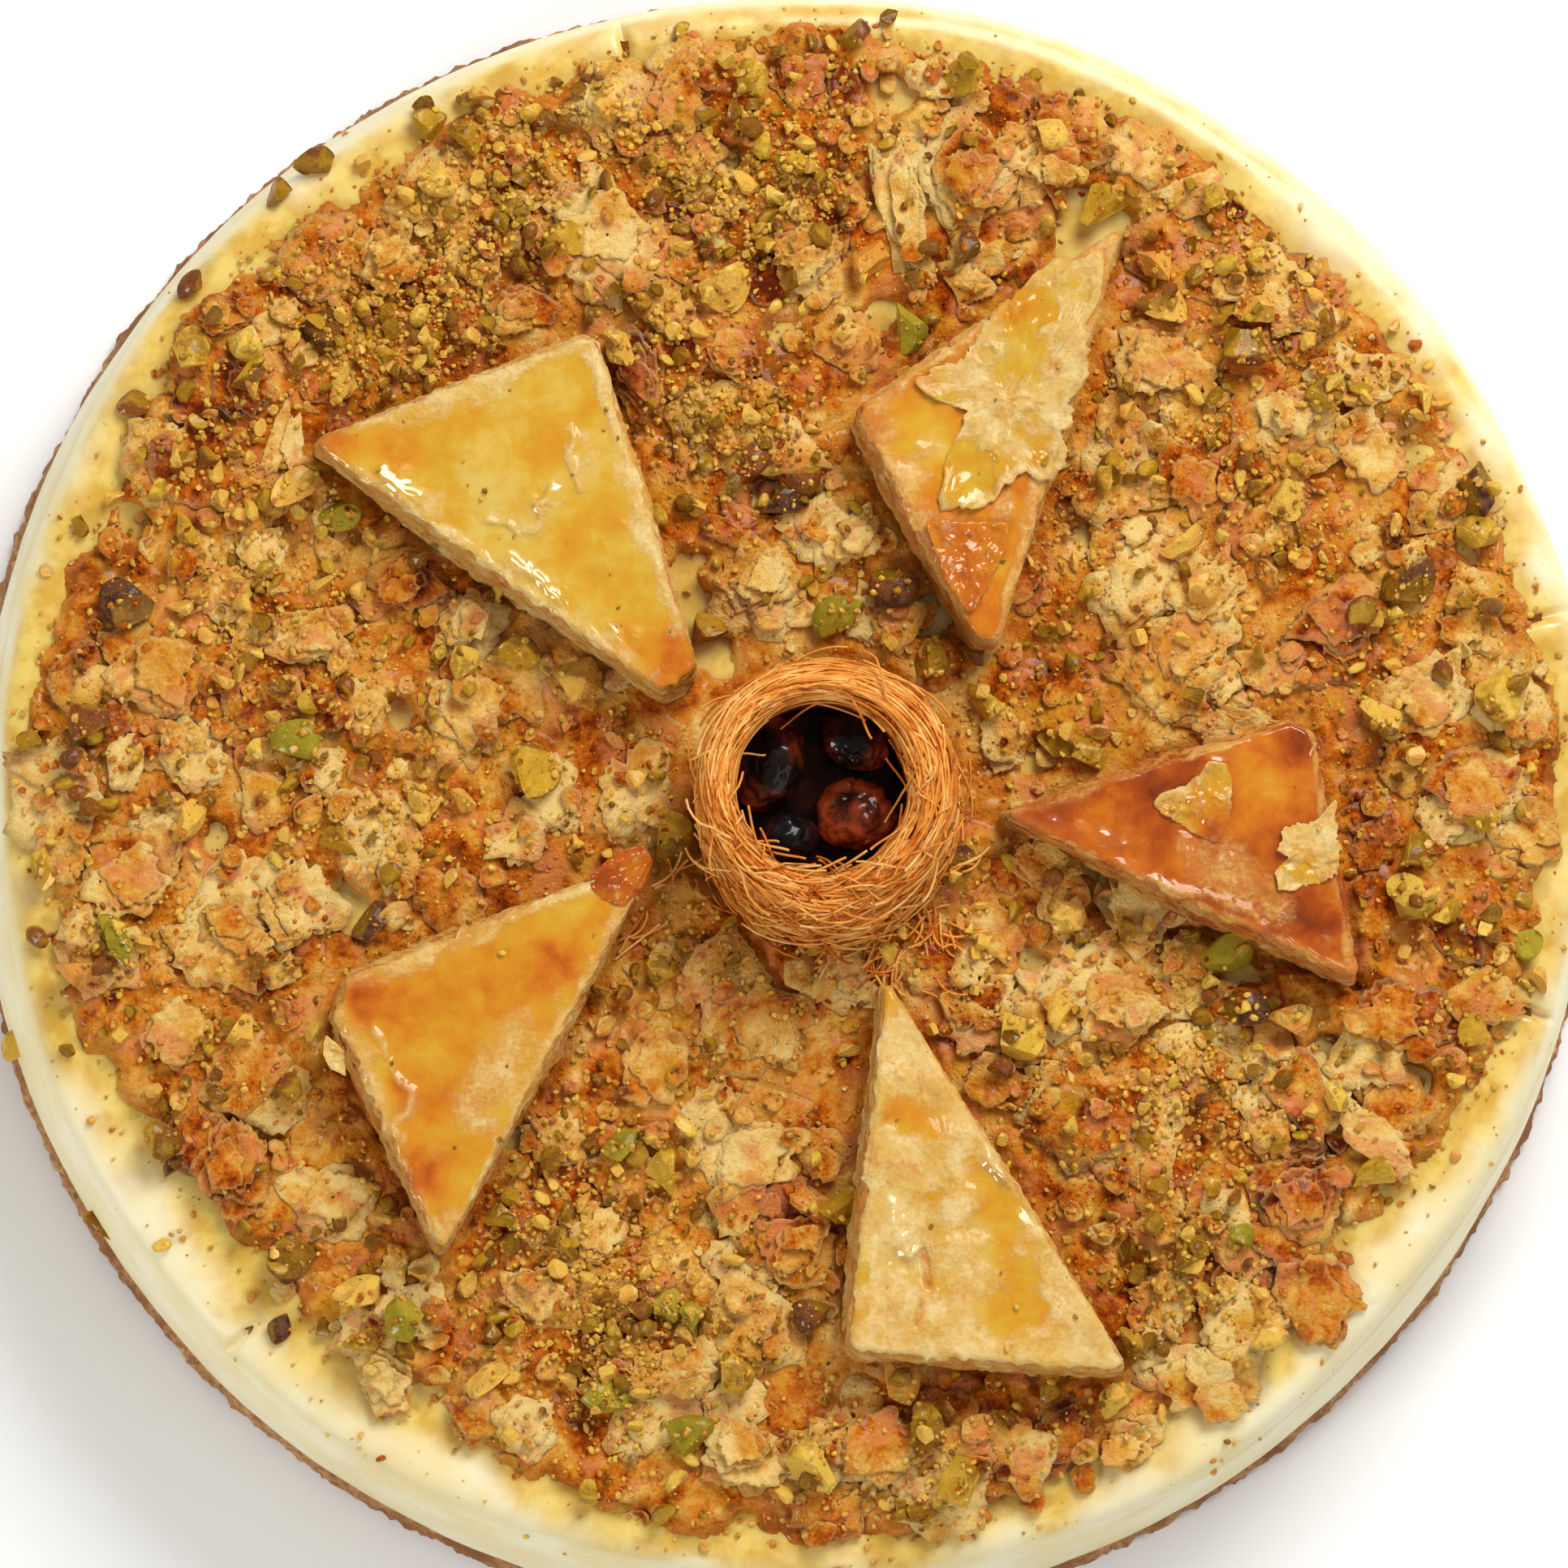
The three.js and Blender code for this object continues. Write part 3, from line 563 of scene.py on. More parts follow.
         {"points": [(-71.4, -38.4), (-68.6, -40.9), (-68.2, -45.1), (-70.5, -44.2), (-71.6, -41.6)],
          "depth": 0.1, "dry": 0.9, "lift": 0.12, "rag": 0.1, "melt": (0, 0.4, 2.0)}]},
]

portionCuts = [  # marks of the cuts into portions: angle, inner end, width and depth
    {"angle": 103, "from": 112, "width": 0.8, "depth": 1.6},
    {"angle": 225, "from": 114, "width": 0.7, "depth": 2.2},
    {"angle": 13, "from": 108, "width": 0.9, "depth": 1.4},
    {"angle": 343, "from": 110, "width": 0.7, "depth": 1.8},
]
slit = {"from": (41.0, -16.5), "shows": (62, -20), "to": (87.5, -30.5), "width": 0.9, "depth": 6.0}
cutFan = {"half": 0.026, "columns": 15}  # how finely the wall is divided at each mark, in radians


def rimWave(angle):  # how far the wall's lip strays from a true circle
    return 0.6 * np.sin(2 * angle + 0.6) + 0.5 * np.sin(5 * angle + 1.2) + 0.3 * np.sin(11 * angle)


def toppingEdge(angle):  # reach of the topping, which spills furthest at the upper left
    return (cake["toppingRadius"] + 1.2 * np.cos(angle) + 1.6 * np.sin(angle) + 0.5 * np.sin(3 * angle)
            + 2.2 * np.cos(4 * angle) + 0.9 * np.sin(13 * angle + 0.4)
            + 5.0 * np.exp(50 * (np.cos(angle - 2.4) - 1)) + 2.6 * np.exp(5 * (np.cos(angle - 3.2) - 1)))


def insidePastry(x, y, pastry):  # how far inside a triangle's nearest side, negative outside
    inside = np.full(len(x), 1e9)
    middle = np.mean(pastry["corners"], 0)
    for k in range(3):
        (ax, ay), (bx, by) = pastry["corners"][k], pastry["corners"][(k + 1) % 3]
        length = math.hypot(bx - ax, by - ay)
        nx, ny = (by - ay) / length, (ax - bx) / length
        if nx * (middle[0] - ax) + ny * (middle[1] - ay) < 0:
            nx, ny = -nx, -ny
        inside = np.minimum(inside, nx * (x - ax) + ny * (y - ay))
    return inside


def lineGap(x, y, line):  # distance to a drawn line
    nearest = np.full(len(x), 1e9)
    for (ax, ay), (bx, by) in zip(line[:-1], line[1:]):
        length = (bx - ax) ** 2 + (by - ay) ** 2
        share = clamp(((x - ax) * (bx - ax) + (y - ay) * (by - ay)) / length)
        nearest = np.minimum(nearest, np.hypot(x - ax - share * (bx - ax), y - ay - share * (by - ay)))
    return nearest


def clearance(x, y):  # distance to the nearest triangle or the nest, negative under them
    gap = np.hypot(x - nest["x"], y - nest["y"]) - nest["foot"]
    for pastry in pastries:
        gap = np.minimum(gap, -insidePastry(x, y, pastry) - 1.2)
    return np.minimum(gap, 1.5 * lineGap(x, y, [slit["shows"], slit["to"]]) - 0.8)


def slitDepth(x, y):  # depth of the long slit, which is a little crooked
    (ax, ay), (bx, by) = slit["from"], slit["to"]
    length = math.hypot(bx - ax, by - ay)
    along = ((x - ax) * (bx - ax) + (y - ay) * (by - ay)) / length
    across = ((x - ax) * (ay - by) + (y - ay) * (bx - ax)) / length
    across = across + 0.6 * np.sin(along * 0.45) + 0.25 * np.sin(along * 1.9)
    reach = smoothStep(0, 9, along) * smoothStep(length, length - 2, along)
    return slit["depth"] * reach * bell(across, slit["width"])


def cutDepth(x, y):  # depth of the portion cuts' marks
    angle, radius = np.arctan2(y, x), np.hypot(x, y)
    total = np.zeros(len(x))
    for cut in portionCuts:
        across = ((angle - math.radians(cut["angle"]) + math.pi) % tau - math.pi) * radius
        reach = smoothStep(cut["from"], cut["from"] + 4, radius)
        total += cut["depth"] * reach * bell(across, cut["width"])
    return total


def roundAngles(count):  # even angles round the cake, closer together at the portion cuts
    angles, half = list(evenAngles(count)), cutFan["half"]
    for cut in portionCuts:
        middle = math.radians(cut["angle"])
        angles = [a for a in angles if abs(a - middle) > half]
        angles += list(middle + np.linspace(-half, half, cutFan["columns"]))
    return np.sort(np.array(angles) % tau)


# The biscuit base: pressed crumbs with a rough edge

biscuit = {
    "sectors": 900, "rough": 0.62, "edge": (121, 125),
    "profile": [(0, 0), (60, 0), (110, 0), (121, 0), (124, 0), (125.6, 0.4), (126.4, 1.2), (126.7, 2.2),
                (126.5, 3.2), (126.2, 4.2), (125.6, 5.2), (125.2, 6.0), (124.7, 6.5), (120, 6.5), (60, 6.5),
                (0, 6.5)],
    "tones": [(0.3, 124, 74, 38), (0.5, 186, 134, 84), (0.72, 220, 180, 130)],
}
radius, height, turn, faces = lathe(biscuit["profile"], evenAngles(biscuit["sectors"]))
points = polar(radius, turn, height)
lumps = 0.6 * fractal(points, 3.4, 2, 5) + fractal(points, 1.3, 3, 9)
edge = smoothStep(*biscuit["edge"], radius)
points = polar(radius + edge * (np.minimum(biscuit["rough"] * lumps, 0.9) - 0.5), turn, height)
points[:, 2] = np.maximum(points[:, 2] + edge * 0.25 * fractal(points, 1.6, 2, 21) * (height > 0.3), 0)

finish = Finish("biscuitCrumb")
grain = finish.noise(1.2, 5, 0.65)
brown = finish.palette(grain, biscuit["tones"])
brown = finish.blend(finish.noise(7, 3, 0.5, shift=9.0).ramp(0.4, 0.65), brown, srgb(146, 94, 54))
biscuitMaterial = finish.close(
    Base_Color=brown, Roughness=0.85, Normal=finish.bump(grain, 0.6, 0.5), Specular_IOR_Level=0.3)
makePiece(makeMesh("biscuitBase", points, faces), biscuitMaterial, "biscuit", "biscuit_base")
print("biscuit base")


# The cream: leaning wall, lip, soft shoulder and level top

cream = {
    "sectors": 460, "topRings": 70, "top": 112, "shoulder": 4, "footIn": 0.3, "swell": 0.25, "grain": 0.05,
    "side": (39.6, 38.5), "crown": (38.0, 39.8),  # heights between which the side ends and the top begins
    "soaked": (9.5, 2.0), "blotch": 0.22,  # how far syrup reaches over the shoulder; strength down the wall
    "wall": [(0, 6.5), (60, 6.5), (118, 6.5), (124.2, 6.5), (125.1, 6.9), (125.3, 8), (125.0, 11),
             (124.6, 15), (124.1, 19), (123.5, 24), (122.9, 28), (122.4, 31), (122.2, 32.6), (121.7, 33.6),
             (121.2, 34.2), (121.2, 34.8), (121.5, 35.4), (121.5, 36.2), (121.3, 37.0), (120.9, 37.9),
             (120.4, 38.7), (119.7, 39.4), (118.8, 39.9), (117.8, 40.2), (116.4, 40.35), (114.8, 40.2),
             (113.2, 40.05)],
}
inward = [cream["top"] * (1 - k / cream["topRings"]) for k in range(cream["topRings"] + 1)]
profile = cream["wall"] + [(reach, cake["creamTop"]) for reach in inward]
radius, height, turn, faces = lathe(profile, roundAngles(cream["sectors"]))
rise = (height - cake["baseHeight"]) / (cake["creamTop"] - cake["baseHeight"])
outer = smoothStep(cream["top"], cream["top"] + cream["shoulder"], radius)
points = polar(radius + outer * (rise * rimWave(turn) - cream["footIn"] * (1 - rise)), turn, height)
swell = cream["swell"] * fractal(points, 16, 3, 31) + cream["grain"] * fractal(points, 2.2, 2, 33)
side = smoothStep(*cream["side"], height) * outer
points[:, 0] += side * swell * np.cos(turn)
points[:, 1] += side * swell * np.sin(turn)
top = smoothStep(*cream["crown"], height)
x, y = points[:, 0], points[:, 1]
points[:, 2] += top * (0.5 * swell - cutDepth(x, y) - slitDepth(x, y))
edgeGap = np.hypot(x, y) - toppingEdge(turn)
# Syrup soaked into the shoulder, and faint blotches down the wall
stain = smoothStep(*cream["soaked"], edgeGap + 3.2 * fractal(points, 8, 4, 41)) * top
blotches = smoothStep(0.35, 1.1, fractal(points * [1, 1, 0.3], 13, 3, 43))
stain = np.maximum(stain, cream["blotch"] * blotches)

finish = Finish("creamCheese")
speckle = finish.noise(1.5, 2, 0.5, shift=31.0).ramp(0.735, 0.77)
ivory = finish.blend(finish.noise(14, 3, 0.5).ramp(0.35, 0.65), srgb(238, 221, 166), srgb(243, 234, 196))
syruped = finish.blend(finish.noise(5, 3).ramp(0.35, 0.65), srgb(214, 166, 44), srgb(234, 202, 100))
stained = finish.attribute("stain")
tone = finish.blend(stained * 0.95, ivory, syruped)
tone = finish.blend(speckle * 0.5, tone, srgb(160, 140, 60))
creamMaterial = finish.close(
    Base_Color=tone, Roughness=0.5 - 0.2 * stained, Normal=finish.bump(finish.noise(0.9, 3, 0.6), 0.15, 0.3),
    Coat_Weight=0.3 * stained, Coat_Roughness=0.15, **softInside(0.3, 0.004, 0.0028, 0.0014))
creamMesh = makeMesh("creamBody", points, faces, {"stain": stain})
makePiece(creamMesh, creamMaterial, "cream", "cheesecake")
print("cream")


# The bed of soaked crumbs that the larger pieces lie on

bed = {"pitch": 0.68, "jitter": 0.2, "reach": 118.0, "level": 41.75, "under": 39.3, "coarse": 0.5,
       "middling": 0.22, "fine": 0.15, "hollows": 2.4, "holes": 5.0, "spill": 2.0,
       "steps": ((11.0, 0.65), (7.0, 0.5), (4.6, 0.35), (3.0, 0.2))}  # size and rise of the flaky steps

barePatches = [  # where the cream shows through: x, y, radius
    (-17, 32, 5), (-15, 26, 4), (46, -10, 6), (50, -6, 4), (-42, -25, 5), (80, -42, 5), (45, 85, 7),
    (-12, 96, 4), (12, 72, 4), (-60, 10, 3), (72, -38, 4), (20, 26, 4), (-67, -20, 6), (-13, 20, 4),
    (-4, 45, 3), (36, -28, 4), (68, -28, 4), (94, -44, 4), (-45, 32, 3), (60, 86, 4), (-36, 60, 3),
    (-30, -58, 3), (64, 22, 3), (14, 106, 4), (-100, 40, 3), (37, 4, 4), (-43, -54, 3), (-88, -8, 3),
]

dustSpots = [  # the thickest drifts of ground pistachio: x, y, reach, strength
    (-15, 93.7, 12, 1.0), (-61.8, 69.2, 13, 1.2), (-77.8, 27.5, 12, 0.7), (67, 82.7, 9, 0.8),
    (-34.8, -68.2, 13, 1.0), (-27.5, -84.2, 12, 1.0), (61, -44.9, 12, 0.9), (-40, 95, 10, 1.0),
    (0, 90, 12, 1.0), (-16.4, 59.4, 11, 0.9), (57.1, -73.1, 10, 0.7), (14.2, -102.6, 9, 0.7),
    (-50, 80, 10, 0.8), (-5, 52, 8, 0.6), (-84, 50, 8, 0.5), (82, 62, 9, 0.5), (40, 38, 8, 0.5),
    (30, 12, 7, 0.5), (-60, -5, 9, 0.6), (-100, -22, 7, 0.5), (92, 20, 8, 0.5), (-20, -20, 8, 0.5),
    (62, 55, 8, 0.6), (75, 40, 8, 0.6), (-75, 20, 10, 0.5), (-88, -40, 7, 0.4),
]


def drifts(x, y):  # how thick the ground pistachio lies
    return spotSum(x, y, dustSpots, 1.0)


def bedHeight(x, y):  # lumps and flaky steps, open at the bare patches and thin at the edge
    spot = flat(x, y)
    height = bed["level"] + bed["coarse"] * fractal(spot, 9, 2, 3)
    height = height + bed["middling"] * fractal(spot, 3.2, 2, 4) + bed["fine"] * fractal(spot, 1.3, 2, 6)
    bent = flat(x + 0.9 * fractal(spot, 2.4, 2, 14), y + 0.9 * fractal(spot + 31, 2.4, 2, 15))
    for k, (size, rise) in enumerate(bed["steps"]):
        height = height + rise * smoothStep(0.0, 0.16, fractal(bent, size, 2, 20 + k))
    height = height - bed["hollows"] * smoothStep(0.7, 1.0, fractal(bent, 13, 2, 77))
    for px, py, size in barePatches:
        gap = np.hypot(x - px, y - py) / size + 0.45 * fractal(spot, 3.5, 2, 8)
        height = height - bed["holes"] * smoothStep(1.1, 0.45, gap)
    gap = clearance(x, y)
    seat = cake["seat"] - 0.2 + smoothStep(0, 1.5, gap)  # the bed is pressed flat under the larger pieces
    height = np.where(gap < 1.5, np.minimum(height, seat), height)
    edge = toppingEdge(np.arctan2(y, x)) - np.hypot(x, y) + 2.4 * fractal(spot, 4.0, 3, 12)
    height = cake["creamTop"] + (height - cake["creamTop"]) * smoothStep(-0.5, 3.5, edge)
    height = height - bed["spill"] * smoothStep(0.3, -0.8, edge) - slitDepth(x, y) * 1.2
    return np.maximum(height, bed["under"])


count = int(2 * bed["reach"] / bed["pitch"]) + 1
gx, gy = squareGrid(np.linspace(-bed["reach"], bed["reach"], count))
gx = gx + bed["jitter"] * bed["pitch"] * lattice(flat(gx, gy) * 1.7, 51)
gy = gy + bed["jitter"] * bed["pitch"] * lattice(flat(gx, gy) * 1.7, 52)
upper = gridFaces(count, count, False)[:, ::-1]
upper = upper[np.hypot(gx, gy)[upper].max(1) < bed["reach"] - 0.5]
used, upper = np.unique(upper, return_inverse=True)
upper = upper.reshape(-1, 4)
gx, gy = gx[used], gy[used]
points = flat(gx, gy, bedHeight(gx, gy))
# The open border goes down to the underside, where a fan of triangles closes the bed
edgePairs = np.concatenate([upper[:, [k, (k + 1) % 4]] for k in range(4)])
keys = edgePairs.min(1) * len(points) + edgePairs.max(1)
where, times = np.unique(keys, return_index=True, return_counts=True)[1:]
border = edgePairs[where[times == 1]]
points[np.unique(border), 2] = bed["under"] + 0.01
middle = np.array([[0, 0, bed["under"]]])
under = np.stack([border[:, 1], border[:, 0], np.full(len(border), len(points))], 1)
points = np.concatenate([points, middle])
wetness = smoothStep(42.7, 41.2, points[:, 2] + 0.5 * fractal(points, 6, 2, 61))
# Painted shade: the bed is made darker where the ground pistachio lies thick, standing for the shade between
# the piled grains
drift = np.minimum(drifts(*points[:, :2].T), 1)
bedMesh = makeMesh("crumbBed", points, [upper, under], {"wet": wetness, "drift": drift})

finish = Finish("crumbBed")
wet = finish.attribute("wet")
# The bed's tone, deeper where wet and darker under the drifts as painted shade
shade, grain, tone = finish.soaked(0.51 + 0.06 * wet + 0.14 * finish.attribute("drift"))
tone = finish.blend(wet * 0.3, tone, srgb(210, 136, 40))
bedMaterial = finish.close(
    Base_Color=tone, Roughness=0.62 - 0.36 * wet, Normal=finish.bump(grain, 0.7, 0.8),
    Coat_Weight=0.3 * wet, Coat_Roughness=0.12, **crumbSheen)
makePiece(bedMesh, bedMaterial, "topping", "baklava_topping")
print("crumb bed", len(bedMesh.polygons))


# The heap: heights of what already lies on the cake, so that each piece rests on those below

heap = {"pitch": 0.5, "reach": 130.0}

heapCount = int(2 * heap["reach"] / heap["pitch"]) + 1
heapX, heapY = squareGrid(np.linspace(-heap["reach"], heap["reach"], heapCount))


def creamHeight(x, y):  # height of the cream's top and shoulder
    shoulder = [(112, 40), (116.4, 40.35), (117.8, 40.2), (118.8, 39.9), (119.7, 39.4), (120.4, 38.7),
                (120.9, 37.9), (121.3, 37), (121.6, 0)]
    return np.interp(np.hypot(x, y) - 0.9 * rimWave(np.arctan2(y, x)), *np.array(shoulder).T)


heapTop = np.maximum(bedHeight(heapX, heapY), creamHeight(heapX, heapY)).reshape(heapCount, heapCount)


def heapAt(x, y):  # height of the heap
    i, j = [np.clip((v + heap["reach"]) / heap["pitch"], 0, heapCount - 1.001) for v in (x, y)]
    i0, j0 = i.astype(int), j.astype(int)
    u, v = i - i0, j - j0
    return ((heapTop[i0, j0] * (1 - u) + heapTop[i0 + 1, j0] * u) * (1 - v)
            + (heapTop[i0, j0 + 1] * (1 - u) + heapTop[i0 + 1, j0 + 1] * u) * v)


def heapSoft(x, y):  # the same, smoothed over about 3 mm
    total = heapAt(x, y)
    for dx, dy in ((1.6, 0), (-1.6, 0), (0, 1.6), (0, -1.6), (1, 1), (-1, 1), (1, -1), (-1, -1)):
        total = total + heapAt(x + dx, y + dy)
    return total / 9


def pile(points):  # raises the heap to a piece that now lies on it
    near = np.round((points[:, :2] + heap["reach"]) / heap["pitch"]).astype(int)
    i, j = np.clip(near, 1, heapCount - 2).T
    for di in (-1, 0, 1):
        for dj in (-1, 0, 1):
            np.maximum.at(heapTop, (i + di, j + dj), points[:, 2] - 0.05 * (abs(di) + abs(dj)))


# Torn sheets of pastry, the pattern for flakes and leaves

def tornOutline(rng, sectors, rag):  # reach at each angle of a torn, angular piece of half-width 1
    count = rng.integers(4, 8)
    facing = (np.arange(count) + rng.uniform(-0.35, 0.35, count)) / count * tau
    reach = rng.uniform(0.62, 1, count)
    angle = evenAngles(sectors)
    lean = np.cos(angle[:, None] - facing[None, :])
    outline = np.minimum(np.where(lean > 0.15, reach / np.maximum(lean, 0.15), 9).min(1), 1.2)
    ring = polar(1, angle, np.full(sectors, rng.uniform(0, 50)))
    frayed = fractal(ring, 0.7, 2) + 1.1 * fractal(ring, 0.2, 2) + rng.normal(0, 0.26, sectors)
    outline = outline * (1 + rag * frayed)
    if rng.random() < 0.45:  # a tear
        offset = (angle - rng.uniform(0, tau) + math.pi) % tau - math.pi
        outline = outline * (1 - rng.uniform(0.2, 0.5) * bell(offset, 0.22))
    return angle, outline


def polygonOutline(corners, middle, sectors, rag, seed):  # the same for a drawn outline
    angle = evenAngles(sectors)
    dx, dy = np.cos(angle), np.sin(angle)
    reach = np.full(sectors, 1e9)
    for k in range(len(corners)):
        ax, ay = np.array(corners[k]) - middle
        bx, by = np.array(corners[(k + 1) % len(corners)]) - middle
        cross = dx * (by - ay) - dy * (bx - ax)
        cross = np.where(np.abs(cross) < 1e-9, 1e-9, cross)
        far = (ax * (by - ay) - ay * (bx - ax)) / cross
        share = (ax * dy - ay * dx) / cross
        crossed = (far > 0) & (share >= -1e-6) & (share <= 1 + 1e-6)
        reach = np.where(crossed, np.minimum(reach, far), reach)
    ring = flat(dx, dy, seed * 3.7) * reach.mean()
    frayed = fractal(ring, 2.2, 2, seed) + 0.9 * fractal(ring, 0.7, 2, seed + 3)
    return angle, eased(reach, 3) * (1 + rag * frayed)


def sheetGrid(x, y, angle, outline, rings, length, width, turn):  # x, y and share of the way to the edge
    share = np.linspace(0, 1, rings + 1)[1:] ** 0.85
    px = (share[:, None] * outline * np.cos(angle)).ravel() * length / 2
    py = (share[:, None] * outline * np.sin(angle)).ravel() * width / 2
    px, py = np.concatenate([[0], px]), np.concatenate([[0], py])
    c, s = math.cos(turn), math.sin(turn)
    return x + px * c - py * s, y + px * s + py * c, np.concatenate([[0], np.repeat(share, len(angle))])


drape = {"percentile": 62, "stiff": 0.45, "gap": 0.06}  # how far a sheet keeps to one level


def tornSheet(rng, place, size, turn, tint, above, kind):  # one sheet, draped over the heap
    angle, outline = tornOutline(rng, kind["sectors"], kind["rag"])
    px, py, share = sheetGrid(*place, angle, outline, kind["rings"], *size, turn)
    below, soft = heapAt(px, py), heapSoft(px, py)
    level = np.percentile(soft, drape["percentile"])
    spot = flat(px, py, rng.uniform(0, 90))
    curl = rng.uniform(*kind["curl"]) * share ** 3
    curl = curl * np.cos(np.arctan2(py - place[1], px - place[0]) - rng.uniform(0, tau))
    crumple = kind["crumple"] * (fractal(spot, 4.5, 2) + 0.5 * fractal(spot, 1.7, 2))
    height = drape["stiff"] * level + (1 - drape["stiff"]) * soft + above + crumple + curl
    height = np.maximum(height, below + drape["gap"])
    points, faces = evenSheet(px, py, height, kind["thick"], kind["rings"], kind["sectors"])
    pile(points[:len(px)])
    return points, faces, {"tint": tint, "edge": np.tile(share, 2)}


flakeTones = {"cream": -0.36, "pale": -0.24, "golden": -0.08, "pinkish": 0.06, "orange": 0.16, "amber": 0.28}

finish = Finish("soakedFlake")
shade, grain, tone = finish.soaked(finish.attribute("tint") + 0.39)
# Pale rims: partly the dry edge of the pastry, partly a painted highlight that lightens the shade at each
# flake's edge
tone = finish.blend(finish.attribute("edge").ramp(0.8, 1.0) * 0.3, tone, srgb(236, 200, 126))
flakeMaterial = finish.close(
    Base_Color=tone, Roughness=0.58 - 0.28 * shade, Normal=finish.bump(grain, 0.75, 0.8),
    Coat_Weight=0.22 * shade, Coat_Roughness=0.07, **crumbSheen)

# The carpet of middling flakes comes first, then the large ones that the eye finds
carpet = {
    "sheets": 430, "reach": 113, "length": (7, 19), "sectors": 38, "rings": 3, "rag": 0.13, "thick": 0.3,
    "crumple": 0.3, "curl": (0, 0.45), "above": 0.05, "driftShade": 0.16,  # painted shade where the drifts lie, standing for the shade between the piled grains
    "toneShares": [0.1, 0.21, 0.27, 0.12, 0.2, 0.1],
}
rng = np.random.default_rng(12)
parts, tones = [], list(flakeTones.values())
while len(parts) < carpet["sheets"]:
    radius, angle = carpet["reach"] * math.sqrt(rng.random()), rng.uniform(0, tau)
    x, y = radius * math.cos(angle), radius * math.sin(angle)
    length, spot = rng.uniform(*carpet["length"]), (np.array([x]), np.array([y]))
    if clearance(*spot)[0] < length * 0.38 or radius > toppingEdge(angle) - 0.18 * length:
        continue
    if min(math.hypot(x - px, y - py) / size for px, py, size in barePatches) < 1.1:
        continue
    tint = rng.choice(tones, p=carpet["toneShares"]) + rng.normal(0, 0.08) - 0.015
    # Painted shade: flakes under thick drifts are made darker
    tint += carpet["driftShade"] * min(drifts(*spot)[0], 1)
    for layer in range(rng.integers(1, 3)):
        size = (length * (1 - 0.2 * layer), length * rng.uniform(0.55, 0.95))
        turn = rng.uniform(0, tau)
        parts.append(tornSheet(rng, (x, y), size, turn, tint - 0.05 * layer, carpet["above"], carpet))
carpetMesh = makeJoined("flakeCarpet", parts, flakeMaterial, "topping")

largeFlakes = {
    "sectors": 60, "rings": 5, "rag": 0.11, "thick": 0.3, "crumple": 0.45, "curl": (0, 0.9), "shrink": 0.17,
    "places": [  # x, y, length, width, turn, tone
        (-30, 85, 20, 12, -40, "pale"), (15.7, 87, 26, 8, 98, "pale"), (96, 14, 15, 14, 20, "pale"),
        (-70, -63.5, 14, 13, 0, "pale"), (-101, -15, 13, 12, 60, "pale"), (-7, -56.5, 17, 13, 30, "pale"),
        (51, -18, 15, 13, -45, "cream"), (50.5, -34, 16, 11, 10, "golden"), (75.5, -63, 16, 15, 50, "orange"),
        (-18, 104, 14, 11, 70, "pinkish"), (-42, 72, 13, 10, 0, "orange"), (78, -77, 15, 14, 80, "pinkish"),
        (-85, -58.5, 16, 12, 70, "orange"), (90, -35, 16, 12, 15, "orange"), (55, 64, 17, 12, -30, "golden"),
        (-60.5, 30, 13, 11, 20, "orange"), (-49.5, 24, 10, 9, 50, "pale"), (0, -70, 12, 11, 0, "pinkish"),
        (12, -101, 15, 12, 40, "orange"), (-8.5, -100.5, 13, 11, 0, "pale"), (62, -90.5, 16, 11, -25, "pale"),
        (88, -54.5, 17, 8, -70, "pale"), (-17.5, -89.5, 14, 8, 10, "golden"), (31.5, 6, 9, 8, 70, "pale"),
        (37.5, -12, 13, 10, -20, "orange"), (83, 26.5, 15, 12, 35, "orange"), (-5, 32, 13, 12, 60, "golden"),
        (2, 80, 12, 12, 10, "golden"), (25.5, 93, 14, 14, 80, "orange"), (104, 0, 13, 13, 45, "orange"),
        (-77.5, 52, 12, 5, 75, "cream"), (-95, 16.5, 13, 12, 15, "pinkish"),
        (-93.5, -37.5, 12, 11, 40, "golden"), (33.4, 31.2, 12, 9, 60, "amber"),
        (-25, 62, 16, 9, -60, "orange"), (8, 38, 9, 8, 20, "cream"), (-74, 22, 14, 10, 10, "golden"),
        (-50, 10, 12, 10, -30, "pale"), (-88, 70, 10, 8, 10, "orange"), (-28, 35, 8, 7, 0, "orange"),
        (68, 8, 16, 8, 10, "golden"), (88, 50, 14, 10, -40, "golden"), (60, 46, 13, 10, 70, "orange"),
        (30, -45, 12, 9, 10, "orange"), (-22, -42, 14, 10, 60, "golden"), (-86, -22, 12, 9, -20, "orange"),
        (-38, -78, 13, 10, 15, "golden"), (-30, -68, 11, 9, 50, "pale"), (50, -100, 12, 9, 20, "golden"),
        (-62, -90, 11, 9, -40, "pale"), (40, 95, 11, 8, 15, "golden"), (-62, 80, 13, 10, 40, "golden"),
        (74, 56, 11, 9, 20, "pale"), (-10, 65, 12, 8, -20, "orange"),
    ],
}
rng = np.random.default_rng(11)
parts = []
for x, y, length, width, turn, tone in largeFlakes["places"]:
    for k in range(rng.integers(2, 5)):
        share = 1 - largeFlakes["shrink"] * k
        tint = flakeTones[tone] + rng.normal(0, 0.05) + (0.08 if k == 0 else 0)
        place = (x + rng.normal(0, 0.7), y + rng.normal(0, 0.7))
        lie, above = math.radians(turn + rng.normal(0, 12)), 0.1 + 0.1 * k
        parts.append(tornSheet(rng, place, (length * share, width * share), lie, tint, above, largeFlakes))
flakeMesh = makeJoined("largeFlakes", parts, flakeMaterial, "topping")


# Scattering: a sieve above the cake drops pieces on to the heap below

